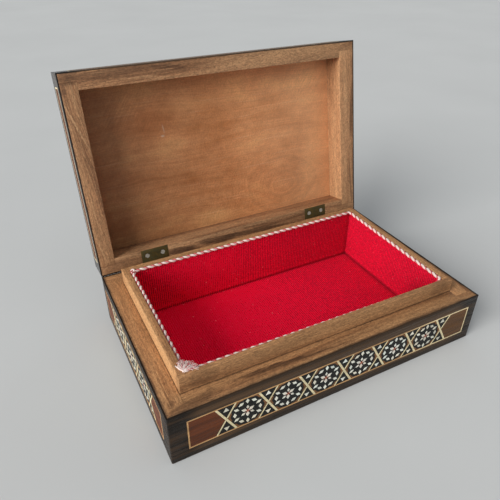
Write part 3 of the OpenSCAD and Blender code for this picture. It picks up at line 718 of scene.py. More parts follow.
def settle(piece, body, material=None, nodes=()):
    """Gives a piece its material and its body, and hides the CAD nodes that it stands for."""
    if material:
        piece.data.materials.clear()
        piece.data.materials.append(finish(material))
    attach(piece, body)
    if nodes:
        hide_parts(*nodes)
    return piece


def smooth_by_angle(mesh, degrees=35.0):
    mesh.shade_smooth()
    mesh.set_sharp_from_angle(angle=math.radians(degrees))


def merged_copy(node):
    """A node's mesh with its loose triangles joined into flat faces."""
    form = bmesh.new()
    form.from_mesh(frame["nodes"][node].data)
    bmesh.ops.remove_doubles(form, verts=form.verts, dist=WELD)
    bmesh.ops.dissolve_limit(form, angle_limit=math.radians(1.0), verts=form.verts, edges=form.edges)
    bmesh.ops.recalc_face_normals(form, faces=form.faces)
    return form


def on_box_edge(edge, back, low, high, meeting_z):
    """True where an edge lies on two outer faces of the closed box, but not where lid and base meet."""
    middle = back @ ((edge.verts[0].co + edge.verts[1].co) / 2)
    near = 0.05 * MM
    faces = sum(min(abs(middle[i] - low[i]), abs(middle[i] - high[i])) < near for i in range(3))
    return faces >= 2 and abs(middle.z - meeting_z) > near


def sharp_edges(form, degrees):
    return [e for e in form.edges
            if len(e.link_faces) == 2 and e.calc_face_angle(0.0) > math.radians(degrees)]


def board(node, lid, round_in, round_out):
    """A copy of a node with its edges eased, and the box's own outer edges rounded more."""
    back = SWING.inverted() if lid else STILL
    low = Vector((-BOX_X, -BOX_Y, LID_LOW_Z if lid else 0.0))
    high = Vector((BOX_X, BOX_Y, LID_TOP_Z if lid else BASE_H))
    meeting_z = LID_LOW_Z if lid else BASE_H
    form = merged_copy(node)
    inner = [e for e in sharp_edges(form, 30) if not on_box_edge(e, back, low, high, meeting_z)]
    bmesh.ops.bevel(form, geom=inner, offset=round_in, segments=2, profile=0.6, affect="EDGES",
                    clamp_overlap=True)
    outer = [e for e in sharp_edges(form, 60) if on_box_edge(e, back, low, high, meeting_z)]
    if outer and round_out > 0:
        bmesh.ops.bevel(form, geom=outer, offset=round_out, segments=3, profile=0.5, affect="EDGES",
                        clamp_overlap=True)
    bmesh.ops.dissolve_degenerate(form, edges=form.edges, dist=WELD / 5)
    mesh = bpy.data.meshes.new(node)
    form.to_mesh(mesh)
    form.free()
    smooth_by_angle(mesh)
    return new_object(node + "_worked", mesh)


def add_prism(form, outline, low, high, ease):
    """Adds an upright prism on a flat outline, with the edge of its top eased."""
    foot = [form.verts.new((x, y, low)) for x, y in outline]
    count = len(foot)
    middle = Vector((sum(x for x, y in outline), sum(y for x, y in outline))) / count
    shoulder = [form.verts.new((x, y, high - ease)) for x, y in outline]
    top = []
    for x, y in outline:
        inward = middle - Vector((x, y))
        step = inward.normalized() * min(ease, inward.length / 2)
        top.append(form.verts.new((x + step.x, y + step.y, high)))
    form.faces.new(list(reversed(foot)))
    form.faces.new(top)
    for rim_low, rim_high in ((foot, shoulder), (shoulder, top)):
        for i in range(count):
            j = (i + 1) % count
            form.faces.new((rim_low[i], rim_low[j], rim_high[j], rim_high[i]))


def prisms(name, outlines, low, high, ease):
    """One mesh of many prisms."""
    form = bmesh.new()
    for outline in outlines:
        add_prism(form, outline, low, high, ease)
    bmesh.ops.recalc_face_normals(form, faces=form.faces)
    mesh = bpy.data.meshes.new(name)
    form.to_mesh(mesh)
    form.free()
    return mesh


def joined(name, meshes):
    """Several meshes as one."""
    form = bmesh.new()
    for mesh in meshes:
        form.from_mesh(mesh)
        bpy.data.meshes.remove(mesh)
    made = bpy.data.meshes.new(name)
    form.to_mesh(made)
    form.free()
    return made


# ---- Geometry Nodes ----

class Recipe(Graph):
    """A Geometry Nodes tree with named inputs, run once on an object and baked to a plain mesh."""

    SOCKETS = {float: "NodeSocketFloat", int: "NodeSocketInt", bool: "NodeSocketBool"}

    def __init__(self, name, **inputs):
        super().__init__(bpy.data.node_groups.new(name, "GeometryNodeTree"))
        self.inputs = inputs
        face = self.tree.interface
        face.new_socket("Geometry", in_out="INPUT", socket_type="NodeSocketGeometry")
        face.new_socket("Geometry", in_out="OUTPUT", socket_type="NodeSocketGeometry")
        self.identifiers = {}
        for key, value in inputs.items():
            socket = face.new_socket(key, in_out="INPUT", socket_type=self.SOCKETS[type(value)])
            self.identifiers[key] = socket.identifier
        face.new_socket("Material", in_out="INPUT", socket_type="NodeSocketMaterial")
        self.entry = self.tree.nodes.new("NodeGroupInput")

    def given(self, name):
        return Value(self, self.entry.outputs[name])

    def field(self, kind, output=0, settings=None, **values):
        """A node whose sockets have names with no space, or _ for a space."""
        named = {key.replace("_", " "): value for key, value in values.items()}
        return self.node(kind, settings, named, output)

    def chance(self, low, high, seed, identity):
        """A random number for each element, or three where low and high are vectors."""
        vector = isinstance(low, tuple)
        first, second, output = (0, 1, 0) if vector else (2, 3, 1)
        return self.node("FunctionNodeRandomValue", {"data_type": "FLOAT_VECTOR" if vector else "FLOAT"},
                         {first: low, second: high, "Seed": seed, "ID": identity}, output)

    def shifted(self, geometry, offset, chosen=None):
        values = {"Geometry": geometry, "Offset": offset}
        if chosen is not None:
            values["Selection"] = chosen
        return self.node("GeometryNodeSetPosition", None, values)

    def join(self, *geometries):
        made = self.tree.nodes.new("GeometryNodeJoinGeometry")
        for geometry in geometries:
            self.tree.links.new(geometry.socket, made.inputs[0])
        return Value(self, made.outputs[0])

    def store(self, geometry, name, value):
        return self.node("GeometryNodeStoreNamedAttribute", {"data_type": "FLOAT", "domain": "POINT"},
                         {"Geometry": geometry, "Name": name, "Value": value})

    def real(self, geometry):
        return self.field("GeometryNodeRealizeInstances", Geometry=geometry)

    def merged(self, geometry):
        return self.field("GeometryNodeMergeByDistance", Geometry=geometry, Distance=WELD)

    def on_points(self, points, instance, **values):
        return self.field("GeometryNodeInstanceOnPoints", Points=points, Instance=instance, **values)

    def raised(self, mesh, height, chosen=None):
        """A mesh drawn upwards in one piece, and the choice of its new top."""
        values = {"Mesh": mesh, "Offset": (0.0, 0.0, 1.0), "Offset Scale": height, "Individual": False}
        if chosen is not None:
            values["Selection"] = chosen
        drawn = self.node("GeometryNodeExtrudeMesh", None, values, "Mesh")
        return drawn, Value(self, drawn.socket.node.outputs["Top"])

    def tube(self, line, sides):
        """A closed tube along a curve, of the recipe's own Radius."""
        outline = self.field("GeometryNodeCurvePrimitiveCircle", Resolution=sides,
                             Radius=self.given("Radius"))
        return self.field("GeometryNodeCurveToMesh", Curve=line, Profile_Curve=outline, Fill_Caps=True)

    def aim(self):
        """Each point's own turn about Z, stored on the start mesh."""
        return self.field("GeometryNodeInputNamedAttribute", settings={"data_type": "FLOAT"}, Name="aim")

    def end(self, geometry):
        done = self.field("GeometryNodeSetMaterial", Geometry=self.real(geometry),
                          Material=self.given("Material"))
        self.node("NodeGroupOutput", None, {"Geometry": done})

    def run(self, name, material, start=None, **values):
        """Runs the recipe on a new object and returns its baked mesh."""
        host = new_object(name, start or bpy.data.meshes.new(name))
        modifier = host.modifiers.new(name, "NODES")
        modifier.node_group = self.tree
        for key, identifier in self.identifiers.items():
            modifier[identifier] = values.get(key, self.inputs[key])
        material_socket = self.tree.interface.items_tree["Material"]
        modifier[material_socket.identifier] = material
        host.update_tag()
        bpy.context.view_layer.update()
        graph = bpy.context.evaluated_depsgraph_get()
        mesh = bpy.data.meshes.new_from_object(
            host.evaluated_get(graph), preserve_all_data_layers=True, depsgraph=graph)
        host.modifiers.clear()
        bpy.data.objects.remove(host)
        mesh.name = name
        return mesh


def tile(r, corners, radius, squeeze, thick, ease):
    """A small upright tile with an eased top, closed underneath."""
    flat = r.field("GeometryNodeMeshCircle", settings={"fill_type": "NGON"}, Vertices=corners, Radius=radius)
    flat = r.field("GeometryNodeTransform", Geometry=flat, Scale=(squeeze, 1.0, 1.0),
                   Rotation=(0.0, 0.0, math.pi / 2 if corners == 3 else 0.0))
    foot = r.field("GeometryNodeFlipFaces", Mesh=flat)
    body, shoulder = r.raised(flat, thick - ease)
    rim, top = r.raised(body, ease, shoulder)
    eased = r.field("GeometryNodeScaleElements", Geometry=rim, Selection=top, Scale=0.93)
    return r.merged(r.join(foot, eased))


def pearl_recipe():
    """Pearl along a band: a star in each cell, and marks in the crosses.

    A star is a ring of twelve lozenges round three larger pieces and three smaller ones.
    """
    s = sizes()
    r = Recipe("pearl_band", Cells=6, Pitch=s.cell_pitch, Ring=s.ring_r, Star=s.star_r, Side=s.lozenge,
               Large=s.star_large, Piece=s.star_piece, Piece_ring=s.star_piece_r, Mark=s.mark_side,
               Mark_off=s.mark_off, Thick=0.0005, Ease=0.00012, Marks=True, Seed=1)
    thick, ease, side, seed = r.given("Thick"), r.given("Ease"), r.given("Side"), r.given("Seed")
    lozenge = tile(r, 4, side * (math.sqrt(3) / 2), 1 / math.sqrt(3), thick, ease)
    triangle = tile(r, 3, r.given("Mark") / math.sqrt(3), 1.0, thick, ease)
    index = r.field("GeometryNodeInputIndex")
    odd = r.maths("MODULO", index, 2.0)

    ring_line = r.field("GeometryNodeMeshCircle", Vertices=12, Radius=r.given("Ring"))
    ring_turn = index * (math.pi / 6) - odd * (math.pi / 2)
    ring = r.on_points(ring_line, lozenge, Rotation=r.together(0.0, 0.0, ring_turn))

    star_turn = r.together(0.0, 0.0, index * (math.pi * 2 / 3) - math.pi / 2)
    threes = []
    for radius, piece_side, turn in (("Star", "Large", math.pi / 2), ("Piece_ring", "Piece", -math.pi / 2)):
        line = r.field("GeometryNodeMeshCircle", Vertices=3, Radius=r.given(radius))
        grown = r.given(piece_side) / side
        three = r.on_points(line, lozenge, Rotation=star_turn, Scale=r.together(grown, grown, 1.0))
        threes.append(r.field("GeometryNodeTransform", Geometry=three, Rotation=(0.0, 0.0, turn)))
    star = r.real(r.join(*threes))
    rosy = r.size(r.field("GeometryNodeInputPosition")) / r.given("Star")
    star = r.store(star, "rosy", r.ramp(rosy, 1.6, 0.3))

    cells, pitch = r.given("Cells"), r.given("Pitch")
    step = r.together(pitch, 0.0, 0.0)
    line = r.field("GeometryNodeMeshLine", Count=cells, Offset=step,
                   Start_Location=r.together((cells - 1.0) * pitch * -0.5, 0.0, 0.0))
    rings = r.on_points(line, ring)
    flip = r.maths("ROUND", r.chance(0.0, 1.0, 5, index)) * (math.pi / 3)
    stars = r.on_points(line, star, Rotation=r.together(0.0, 0.0, flip))

    crosses = r.field("GeometryNodeMeshLine", Count=cells + 1.0, Offset=step,
                      Start_Location=r.together(cells * pitch * -0.5, 0.0, 0.0))
    off = r.given("Mark_off")
    highs = r.on_points(r.shifted(crosses, r.together(0.0, off, 0.0)), triangle)
    lows = r.on_points(r.shifted(crosses, r.together(0.0, off * -1.0, 0.0)), triangle,
                       Rotation=(0.0, 0.0, math.pi))
    marks = r.node("GeometryNodeSwitch", {"input_type": "GEOMETRY"},
                   {"Switch": r.given("Marks"), "True": r.join(highs, lows)})

    whole = r.real(r.join(rings, stars, marks))
    island = r.node("GeometryNodeInputMeshIsland", output="Island Index")
    jitter = r.chance((-0.00011, -0.00011, -0.00003), (0.00011, 0.00011, 0.00001), 11, island)
    whole = r.shifted(whole, jitter)
    r.end(r.store(whole, "tone", r.chance(0.0, 1.0, 23, island + seed * 97.0)))
    return r


def cloth_recipe():
    """A ribbed sheet in the XY plane, as long as Length along X, and as high at each end as its heights."""
    s = sizes()
    r = Recipe("ribbed_cloth", Length=0.2, Height_start=0.1, Height_end=0.1, Pitch=s.rib_pitch,
               Rib=s.rib_height, Thick=s.cloth_t, Columns=400, Rows=40, Swell=0.0004)
    length_x, rib = r.given("Length"), r.given("Rib")
    grid = r.field("GeometryNodeMeshGrid", Size_X=length_x, Size_Y=1.0, Vertices_X=r.given("Columns"),
                   Vertices_Y=r.given("Rows"))
    position = r.field("GeometryNodeInputPosition")
    x, y, z = r.apart(position)
    share = x / length_x + 0.5
    height = r.given("Height_start") * (1.0 - share) + r.given("Height_end") * share
    grid = r.field("GeometryNodeSetPosition", Geometry=grid, Position=r.together(x, (y + 0.5) * height, 0.0))
    back = r.field("GeometryNodeFlipFaces", Mesh=grid)
    face, raised_side = r.raised(grid, r.given("Thick") - rib)
    wave = r.maths("COSINE", x * (2 * math.pi) / r.given("Pitch"))
    rough = r.node("ShaderNodeTexNoise", None, {"Vector": position, "Scale": 900.0, "Detail": 2.0}, "Fac")
    slow = r.node("ShaderNodeTexNoise", None, {"Vector": position, "Scale": 28.0, "Detail": 1.0}, "Fac")
    lift = (wave * 0.5 + 0.5) * rib + (rough - 0.5) * rib * 0.9 + (slow - 0.5) * r.given("Swell")
    face = r.shifted(face, r.together(0.0, 0.0, lift), raised_side)
    r.end(r.merged(r.join(back, face)))
    return r


def ply_recipe():
    """One ply that winds round the line of its start mesh."""
    s = sizes()
    r = Recipe("cord_ply", Radius=0.0006, Reach=0.0006, Lead=s.cord_lead, Phase=0.0, Step=0.0005, Sides=8)
    line = r.node("GeometryNodeMeshToCurve", None, {"Mesh": r.given("Geometry")})
    line = r.node("GeometryNodeResampleCurve", {"mode": "LENGTH"}, {"Curve": line, "Length": r.given("Step")})
    way = r.node("GeometryNodeSplineParameter", None, None, "Length")
    turn = way * (2 * math.pi) / r.given("Lead") + r.given("Phase")
    tangent = r.field("GeometryNodeInputTangent")
    level = r.node("ShaderNodeVectorMath", {"operation": "NORMALIZE"},
                   {0: r.vector("CROSS_PRODUCT", (0.0, 0.0, 1.0), tangent)})
    upright = r.vector("CROSS_PRODUCT", tangent, level)
    reach = r.given("Reach")
    ways = r.maths("COSINE", turn) * reach
    rise = r.maths("SINE", turn) * reach
    offset = r.vector("ADD", r.vector("MULTIPLY", level, r.together(ways, ways, ways)),
                      r.vector("MULTIPLY", upright, r.together(rise, rise, rise)))
    wound = r.shifted(line, offset)
    tube = r.tube(wound, r.given("Sides"))
    r.end(r.field("GeometryNodeSetShadeSmooth", Geometry=tube))
    return r


def fibre_recipe():
    """A fan of short bent fibres on the points of its start mesh."""
    r = Recipe("frayed_fibres", Length=0.006, Radius=0.00009, Seed=3)
    bend = r.node("GeometryNodeCurveQuadraticBezier", None, {
        "Resolution": 6, "Start": (0.0, 0.0, 0.0), "Middle": (0.5, 0.12, 0.12), "End": (1.0, 0.0, -0.05)})
    index = r.field("GeometryNodeInputIndex")
    turn = r.chance((-0.25, -0.2, -0.55), (0.25, 0.12, 0.55), 3, index)
    size = r.chance(0.55, 1.1, 9, index) * r.given("Length")
    spun = r.vector("ADD", turn, r.together(0.0, 0.0, r.aim()))
    fan = r.on_points(r.given("Geometry"), bend, Rotation=spun, Scale=r.together(size, size, size))
    r.end(r.tube(r.real(fan), 5))
    return r


def screw_recipe():
    """The start mesh's points each carry one screw, turned by their own angle."""
    shank_length = 0.006
    r = Recipe("hinge_screws", Head=0.0018, Shank=0.0009, Depth=0.0008, Slot=0.0005, Slot_depth=0.00035)
    depth = r.given("Depth")
    head = r.field("GeometryNodeMeshCone", Vertices=24, Radius_Top=r.given("Head"),
                   Radius_Bottom=r.given("Shank"), Depth=depth)
    shank = r.field("GeometryNodeMeshCylinder", Vertices=16, Radius=r.given("Shank"), Depth=shank_length)
    head = r.field("GeometryNodeTransform", Geometry=head, Translation=r.together(0.0, 0.0, depth * -1.0))
    shank = r.field("GeometryNodeTransform", Geometry=shank,
                    Translation=r.together(0.0, 0.0, depth * -0.9 - shank_length / 2))
    slot_size = r.together(0.01, r.given("Slot"), r.given("Slot_depth") * 2.0)
    slot = r.field("GeometryNodeMeshCube", Size=slot_size)
    cut = r.node("GeometryNodeMeshBoolean", {"operation": "DIFFERENCE"},
                 {"Mesh 1": head, "Mesh 2": slot}, "Mesh")
    r.end(r.on_points(r.given("Geometry"), r.join(cut, shank), Rotation=r.together(0.0, 0.0, r.aim())))
    return r


# ---- Inlay, drawn flat: X along the band, Y up it, Z out of the wood ----

def on_side(turn, reach, shift, level):
    """Takes a flat drawing to an upright face: 0 front, 90 right, 180 back, -90 left."""
    return (Matrix.Rotation(math.radians(turn), 4, "Z") @ Matrix.Translation((0.0, -reach, 0.0))
            @ Matrix.Rotation(math.pi / 2, 4, "X") @ Matrix.Translation((shift, level, 0.0)))


def frame_outlines(length_x, height, width):
    """Four mitred strings round a band."""
    x, y = length_x / 2, height / 2
    u, v = x - width, y - width
    return [[(-x, -y), (x, -y), (u, -v), (-u, -v)], [(x, -y), (x, y), (u, v), (u, -v)],
            [(x, y), (-x, y), (-u, v), (u, v)], [(-x, y), (-x, -y), (-u, -v), (-u, v)]]


def rail_outlines(length_x, height, width):
    """The two long strings of a band whose ends are closed by its neighbours' strings."""
    x, y = length_x / 2, height / 2
    v = y - width
    return [[(-x, -y), (x, -y), (x, -v), (-x, -v)], [(-x, v), (x, v), (x, y), (-x, y)]]


def slant_outline(middle, width, slope, low, high):
    """A slanting string from one height to another."""
    half = width / math.sin(slope) / 2
    foot = middle + low / math.tan(slope)
    head = middle + high / math.tan(slope)
    return [(foot - half, low), (foot + half, low), (head + half, high), (head - half, high)]


def cross_middles(cells):
    return [(i - cells / 2) * sizes().cell_pitch for i in range(cells + 1)]


def cell_middles(cells):
    return [(i + 0.5 - cells / 2) * sizes().cell_pitch for i in range(cells)]


def inner_height():
    return BAND_H - 2 * sizes().string_w


def cross_outlines(cells):
    """Every cross: one whole thick string, and a thin one in two halves that butt against it."""
    s = sizes()
    half = inner_height() / 2
    slope = s.cross_slope
    gap = s.thick_cross / 2 / math.sin(2 * slope) * math.sin(slope)
    outlines = []
    for middle in cross_middles(cells):
        outlines.append(slant_outline(middle, s.thick_cross, math.pi - slope, -half, half))
        outlines.append(slant_outline(middle, s.thin_cross, slope, -half, -gap))
        outlines.append(slant_outline(middle, s.thin_cross, slope, gap, half))
    return outlines


def end_outlines(length_x, cells):
    """The pointed panels at both ends of a band."""
    s = sizes()
    half = inner_height() / 2
    near = -length_x / 2 + s.string_w
    tip = cross_middles(cells)[0] - s.thick_cross / math.sin(s.cross_slope) / 2
    run = half / math.tan(s.cross_slope)
    panel = [(near, -half), (tip - run, -half), (tip, 0.0), (tip - run, half), (near, half)]
    return [panel, [(-x, y) for x, y in reversed(panel)]]


def filler_outlines(cells):
    """Brown corner pieces between each black medallion and the strings round its cell."""
    s = sizes()
    half = inner_height() / 2
    side = s.cell_pitch / 2 * math.sin(s.cross_slope) - s.thick_cross / 2
    normals = [math.pi / 2 - k * math.pi / 3 for k in range(6)]
    reaches = [half if k % 3 == 0 else side for k in range(6)]
    spread = math.radians(18)
    steps = 8
    lobe_depth = 0.03
    corners = []
    for k in range(6):
        first, second = normals[k], normals[(k + 1) % 6]
        corner = meeting(first, reaches[k], second, reaches[(k + 1) % 6])
        aim = math.atan2(corner[1], corner[0])
        points = [on_line(first, reaches[k], aim + spread), corner,
                  on_line(second, reaches[(k + 1) % 6], aim - spread)]
        for j in range(steps + 1):
            turn = aim - spread + 2 * spread * j / steps
            lobe = s.medallion_r * (1.0 + lobe_depth * math.cos(12 * turn))
            points.append((lobe * math.cos(turn), lobe * math.sin(turn)))
        corners.append(points)
    return [[(middle + x, y) for x, y in points] for middle in cell_middles(cells) for points in corners]


def core_outlines(cells):
    """A small reddish hexagon in the middle of each star, under the tips of its pieces."""
    radius = sizes().star_r * 0.5
    hexagon = [(radius * math.sin(math.pi / 3 * k), radius * math.cos(math.pi / 3 * k)) for k in range(6)]
    return [[(middle + x, y) for x, y in hexagon] for middle in cell_middles(cells)]


def meeting(first, first_reach, second, second_reach):
    """Where two lines cross, each given by the direction and length of its normal."""
    turn = math.sin(second - first)
    x = (first_reach * math.sin(second) - second_reach * math.sin(first)) / turn
    y = (second_reach * math.cos(first) - first_reach * math.cos(second)) / turn
    return x, y


def on_line(normal, reach, direction):
    """Where a ray from the middle meets a line."""
    far = reach / math.cos(direction - normal)
    return far * math.cos(direction), far * math.sin(direction)


def rectangle(length_x, height):
    x, y = length_x / 2, height / 2
    return [(-x, -y), (x, -y), (x, y), (-x, y)]


# Foot and tops of the inlay, as shares of the veneer's thickness: all nearly flush, each wood sunk a hair
INLAY_FOOT = 0.4
GROUND_TOP = 0.93
FILLER_TOP = 0.96
PANEL_TOP = 0.985
STRING_TOP = 1.0


def inlay(name, outlines, top, foot=INLAY_FOOT, ease=0.1 * MM):
    """Prisms of inlay, with their foot and top given as shares of the veneer's thickness."""
    return prisms(name, outlines, foot * VENEER_T, top * VENEER_T, ease)


def pearl_tiles(recipe, name, cells, seed, **changed):
    """The pearl recipe's tiles, set on the inlay's foot and flush with the strings."""
    thick = (STRING_TOP - INLAY_FOOT) * VENEER_T
    mesh = recipe.run(name, finish("pearl"), Cells=cells, Thick=thick, Seed=seed, **changed)
    mesh.transform(Matrix.Translation((0.0, 0.0, INLAY_FOOT * VENEER_T)))
    return mesh


def laid(name, meshes_and_places, body, material, nodes, seed, tone=0.5, along="x"):
    """Moves flat meshes onto their faces and joins them into one finished piece."""
    lid = body == "lid"
    parts = []
    for mesh, place in meshes_and_places:
        mesh.transform(SWING @ place if lid else place)
        parts.append(mesh)
    made = new_object(name, parts[0] if len(parts) == 1 else joined(name, parts))
    mark(made, lid, along, tone, seed)
    return settle(made, body, material, nodes)


def lay_band(side, turn, reach, length_x, cells, shift, seed, recipe):
    """All the inlay of one side of the base."""
    place = on_side(turn, reach, shift, BAND_Z)
    along = "x" if turn in (0, 180) else "y"
    ground = inlay(f"{side}_ground", [rectangle(length_x, BAND_H)], GROUND_TOP, 0.0)
    laid(f"{side}_band_ground_inlay", [(ground, place)], "base", "black_wood",
         [f"{side}_band_ground"], seed, 0.5, along)
    edge_lines = frame_outlines(length_x, BAND_H, sizes().string_w)
    # Kind, outlines, top, slot, material, and whether a CAD node is replaced
    for kind, outlines, top, slot_name, material, in_cad in (
            ("fillers", filler_outlines(cells), FILLER_TOP, "mahogany", "filler_wood", False),
            ("cores", core_outlines(cells), FILLER_TOP, "mahogany", "core_wood", False),
            ("frame", edge_lines, STRING_TOP, "boxwood", "frame_string", False),
            ("strings", cross_outlines(cells), STRING_TOP, "boxwood", "boxwood", True),
            ("panels", end_outlines(length_x, cells), PANEL_TOP, "mahogany", "mahogany", True)):
        mesh = inlay(f"{side}_{kind}", outlines, top)
        laid(f"{side}_band_{kind}_inlay", [(mesh, place)], "base", material,
             [f"{side}_band_{kind}"] if in_cad else [], seed, 0.5, along)
    tiles = pearl_tiles(recipe, f"{side}_pearl", cells, seed)
    laid(f"{side}_band_pearl_inlay", [(tiles, place)], "base", None, [f"{side}_band_pearl"], seed,
         None, along)


# ---- Operators ----

class InlaidBoxStep:
    """What the operators share."""
    bl_options = {"REGISTER", "UNDO"}


BASE_BOARDS = [
    # Node, direction of the grain, tone
    ("base_front_board", "x", 0.42), ("base_back_board", "x", 0.5), ("base_left_board", "y", 0.58),
    ("base_right_board", "y", 0.5), ("bottom_board", "x", 0.45), ("lip_front_board", "x", 0.5),
    ("lip_back_board", "x", 0.45), ("lip_left_board", "y", 0.72), ("lip_right_board", "y", 0.55),
]
LID_BOARDS = [
    ("lid_front_rail", "x", 0.5), ("lid_back_rail", "x", 0.46), ("lid_left_rail", "y", 0.52),
    ("lid_right_rail", "y", 0.6),
]
VENEERS = [
    # Node, direction of the grain
    ("base_front_veneer", "x"), ("base_back_veneer", "x"),
    ("base_left_veneer", "y"), ("base_right_veneer", "y"),
    ("lid_front_veneer", "x"), ("lid_back_veneer", "x"),
    ("lid_left_veneer", "y"), ("lid_right_veneer", "y"),
    ("lid_top_veneer", "x"),
]


class INLAIDBOX_OT_boards(InlaidBoxStep, bpy.types.Operator):
    """Works the bare boards of the base, the lip and the lid"""
    bl_idname = "inlaid_box.boards"
    bl_label = "Bare Boards"

    def execute(self, context):
        for seed, (node, along, tone) in enumerate(BASE_BOARDS):
            piece = mark(board(node, False, sizes().board_round, 0.0), False, along, tone, seed + 40)
            settle(piece, "base", "base_wood", [node])
        for seed, (node, along, tone) in enumerate(LID_BOARDS):
            piece = mark(board(node, True, sizes().board_round, 0.0), True, along, tone, seed + 70)
            settle(piece, "lid", "lid_wood", [node])
        piece = mark(board("lid_top_board", True, sizes().board_round, 0.0), True, "x", 0.5, 90)
        settle(piece, "lid", "panel_wood", ["lid_top_board"])
        return {"FINISHED"}


class INLAIDBOX_OT_veneers(InlaidBoxStep, bpy.types.Operator):
    """Works the dark veneers on the outside of the base and the lid"""
    bl_idname = "inlaid_box.veneers"
    bl_label = "Dark Veneers"

    def execute(self, context):
        for seed, (node, along) in enumerate(VENEERS):
            lid = node.startswith("lid")
            piece = board(node, lid, 0.05 * MM, sizes().corner_round)
            mark(piece, lid, along, 0.5, seed + 120)
            settle(piece, "lid" if lid else "base", "dark_veneer", [node])
        return {"FINISHED"}


class INLAIDBOX_OT_base_inlay(InlaidBoxStep, bpy.types.Operator):
    """Lays the bands of stars and crosses round the base"""
    bl_idname = "inlaid_box.base_inlay"
    bl_label = "Base Inlay"

    def execute(self, context):
        recipe = pearl_recipe()
        lay_band("front", 0, WOOD_Y, FRONT_LEN, 6, FRONT_SHIFT, 1, recipe)
        lay_band("back", 180, WOOD_Y, FRONT_LEN, 6, 0.0, 2, recipe)
        lay_band("left", -90, WOOD_X, SIDE_LEN, 3, LEFT_SHIFT, 3, recipe)
        lay_band("right", 90, WOOD_X, SIDE_LEN, 3, 0.0, 4, recipe)
        return {"FINISHED"}


class INLAIDBOX_OT_lid_inlay(InlaidBoxStep, bpy.types.Operator):
    """Lays the strings round the lid's edges, and the bands and the rosette on its top"""
    bl_idname = "inlaid_box.lid_inlay"
    bl_label = "Lid Inlay"

    def execute(self, context):
        self.edges()
        self.top()
        return {"FINISHED"}

    def edges(self):
        width = sizes().string_w
        strings, panels = [], []
        for turn, reach, length_x in ((0, WOOD_Y, FRONT_LEN), (180, WOOD_Y, FRONT_LEN),
                                      (90, WOOD_X, SIDE_LEN), (-90, WOOD_X, SIDE_LEN)):
            place = on_side(turn, reach, 0.0, EDGE_Z)
            outlines = frame_outlines(length_x, EDGE_BAND_H, width)
            strings.append((inlay("edge", outlines, STRING_TOP, 0.0), place))
            inside = [rectangle(length_x - 2 * width, EDGE_BAND_H - 2 * width)]
            panels.append((inlay("edge", inside, PANEL_TOP, 0.0, 0.05 * MM), place))
        laid("lid_edge_strings_inlay", strings, "lid", "boxwood", ["lid_side_strings"], 11)
        laid("lid_edge_panels_inlay", panels, "lid", "mahogany", ["lid_side_panels"], 12)

    def top(self):
        s = sizes()
        recipe = pearl_recipe()
        flat = Matrix.Translation((0.0, 0.0, LID_TOP_Z - VENEER_T))
        ground = inlay("ground", [rectangle(FRONT_LEN, SIDE_LEN)], GROUND_TOP, 0.0)
        laid("lid_top_ground_inlay", [(ground, flat)], "lid", "black_wood",
             ["lid_top_ground"], 21)
        field_w, field_h = FRONT_LEN - 2 * BAND_H, SIDE_LEN - 2 * BAND_H
        bands = [
            # Turns about Z, what the two bands span between them, length, cells, strings along the edges
            ((0, 180), SIDE_LEN, FRONT_LEN, 6, frame_outlines(FRONT_LEN, BAND_H, s.string_w)),
            ((90, -90), FRONT_LEN, field_h + 2 * s.string_w, 2, rail_outlines(field_h, BAND_H, s.string_w)),
        ]
        strings, panels, fillers, tiles = [], [], [], []
        for turns, span, length_x, cells, edge_lines in bands:
            reach = span / 2 - BAND_H / 2
            for seed, turn in enumerate(turns):
                place = (flat @ Matrix.Rotation(math.radians(turn), 4, "Z")
                         @ Matrix.Translation((0.0, -reach, 0.0)))
                strings.append((inlay("s", edge_lines + cross_outlines(cells), STRING_TOP), place))
                panels.append((inlay("p", end_outlines(length_x, cells), PANEL_TOP), place))
                fillers.append((inlay("f", filler_outlines(cells), FILLER_TOP), place))
                tiles.append((pearl_tiles(recipe, "t", cells, cells + seed), place))
        strings.append((inlay("ring", ring_outlines(s.rosette_r, s.string_w), STRING_TOP), flat))
        panels.append((inlay("field", field_outlines(field_w, field_h, s.rosette_r), PANEL_TOP), flat))
        band_star = {"Ring": s.ring_r, "Star": s.star_r, "Side": s.lozenge, "Large": s.star_large,
                     "Piece": s.star_piece, "Piece_ring": s.star_piece_r}
        rosette = {name: size * s.rosette_growth for name, size in band_star.items()}
        tiles.append((pearl_tiles(recipe, "t", 1, 9, Marks=False, **rosette), flat))
        laid("lid_top_strings_inlay", strings, "lid", "boxwood", ["lid_top_strings"], 22)
        laid("lid_top_panels_inlay", panels, "lid", "mahogany", ["lid_top_panel"], 23)
        laid("lid_top_fillers_inlay", fillers, "lid", "filler_wood", [], 24)
        laid("lid_top_pearl_inlay", tiles, "lid", None, ["lid_top_pearl"], 25, None)


def ring_outlines(radius, width):
    """A round string, in short straight lengths."""
    count = 72
    outlines = []
    for i in range(count):
        first, second = 2 * math.pi * i / count, 2 * math.pi * (i + 1) / count
        outlines.append([(r * math.cos(t), r * math.sin(t)) for r, t in (
            (radius - width, first), (radius, first), (radius, second), (radius - width, second))])
    return outlines


def field_outlines(width, height, radius):
    """The field round the rosette: four quarters, each bounded by a quarter of the ring."""
    x, y = width / 2, height / 2
    steps = 18
    outlines = []
    for k in range(4):
        arc = [math.pi / 2 * (k + 1 - j / steps) for j in range(steps + 1)]
        points = [(radius * math.cos(t), radius * math.sin(t)) for t in arc]
        ends = {0: [(x, 0.0), (x, y), (0.0, y)], 1: [(0.0, y), (-x, y), (-x, 0.0)],
                2: [(-x, 0.0), (-x, -y), (0.0, -y)], 3: [(0.0, -y), (x, -y), (x, 0.0)]}[k]
        outlines.append(points + ends)
    return outlines


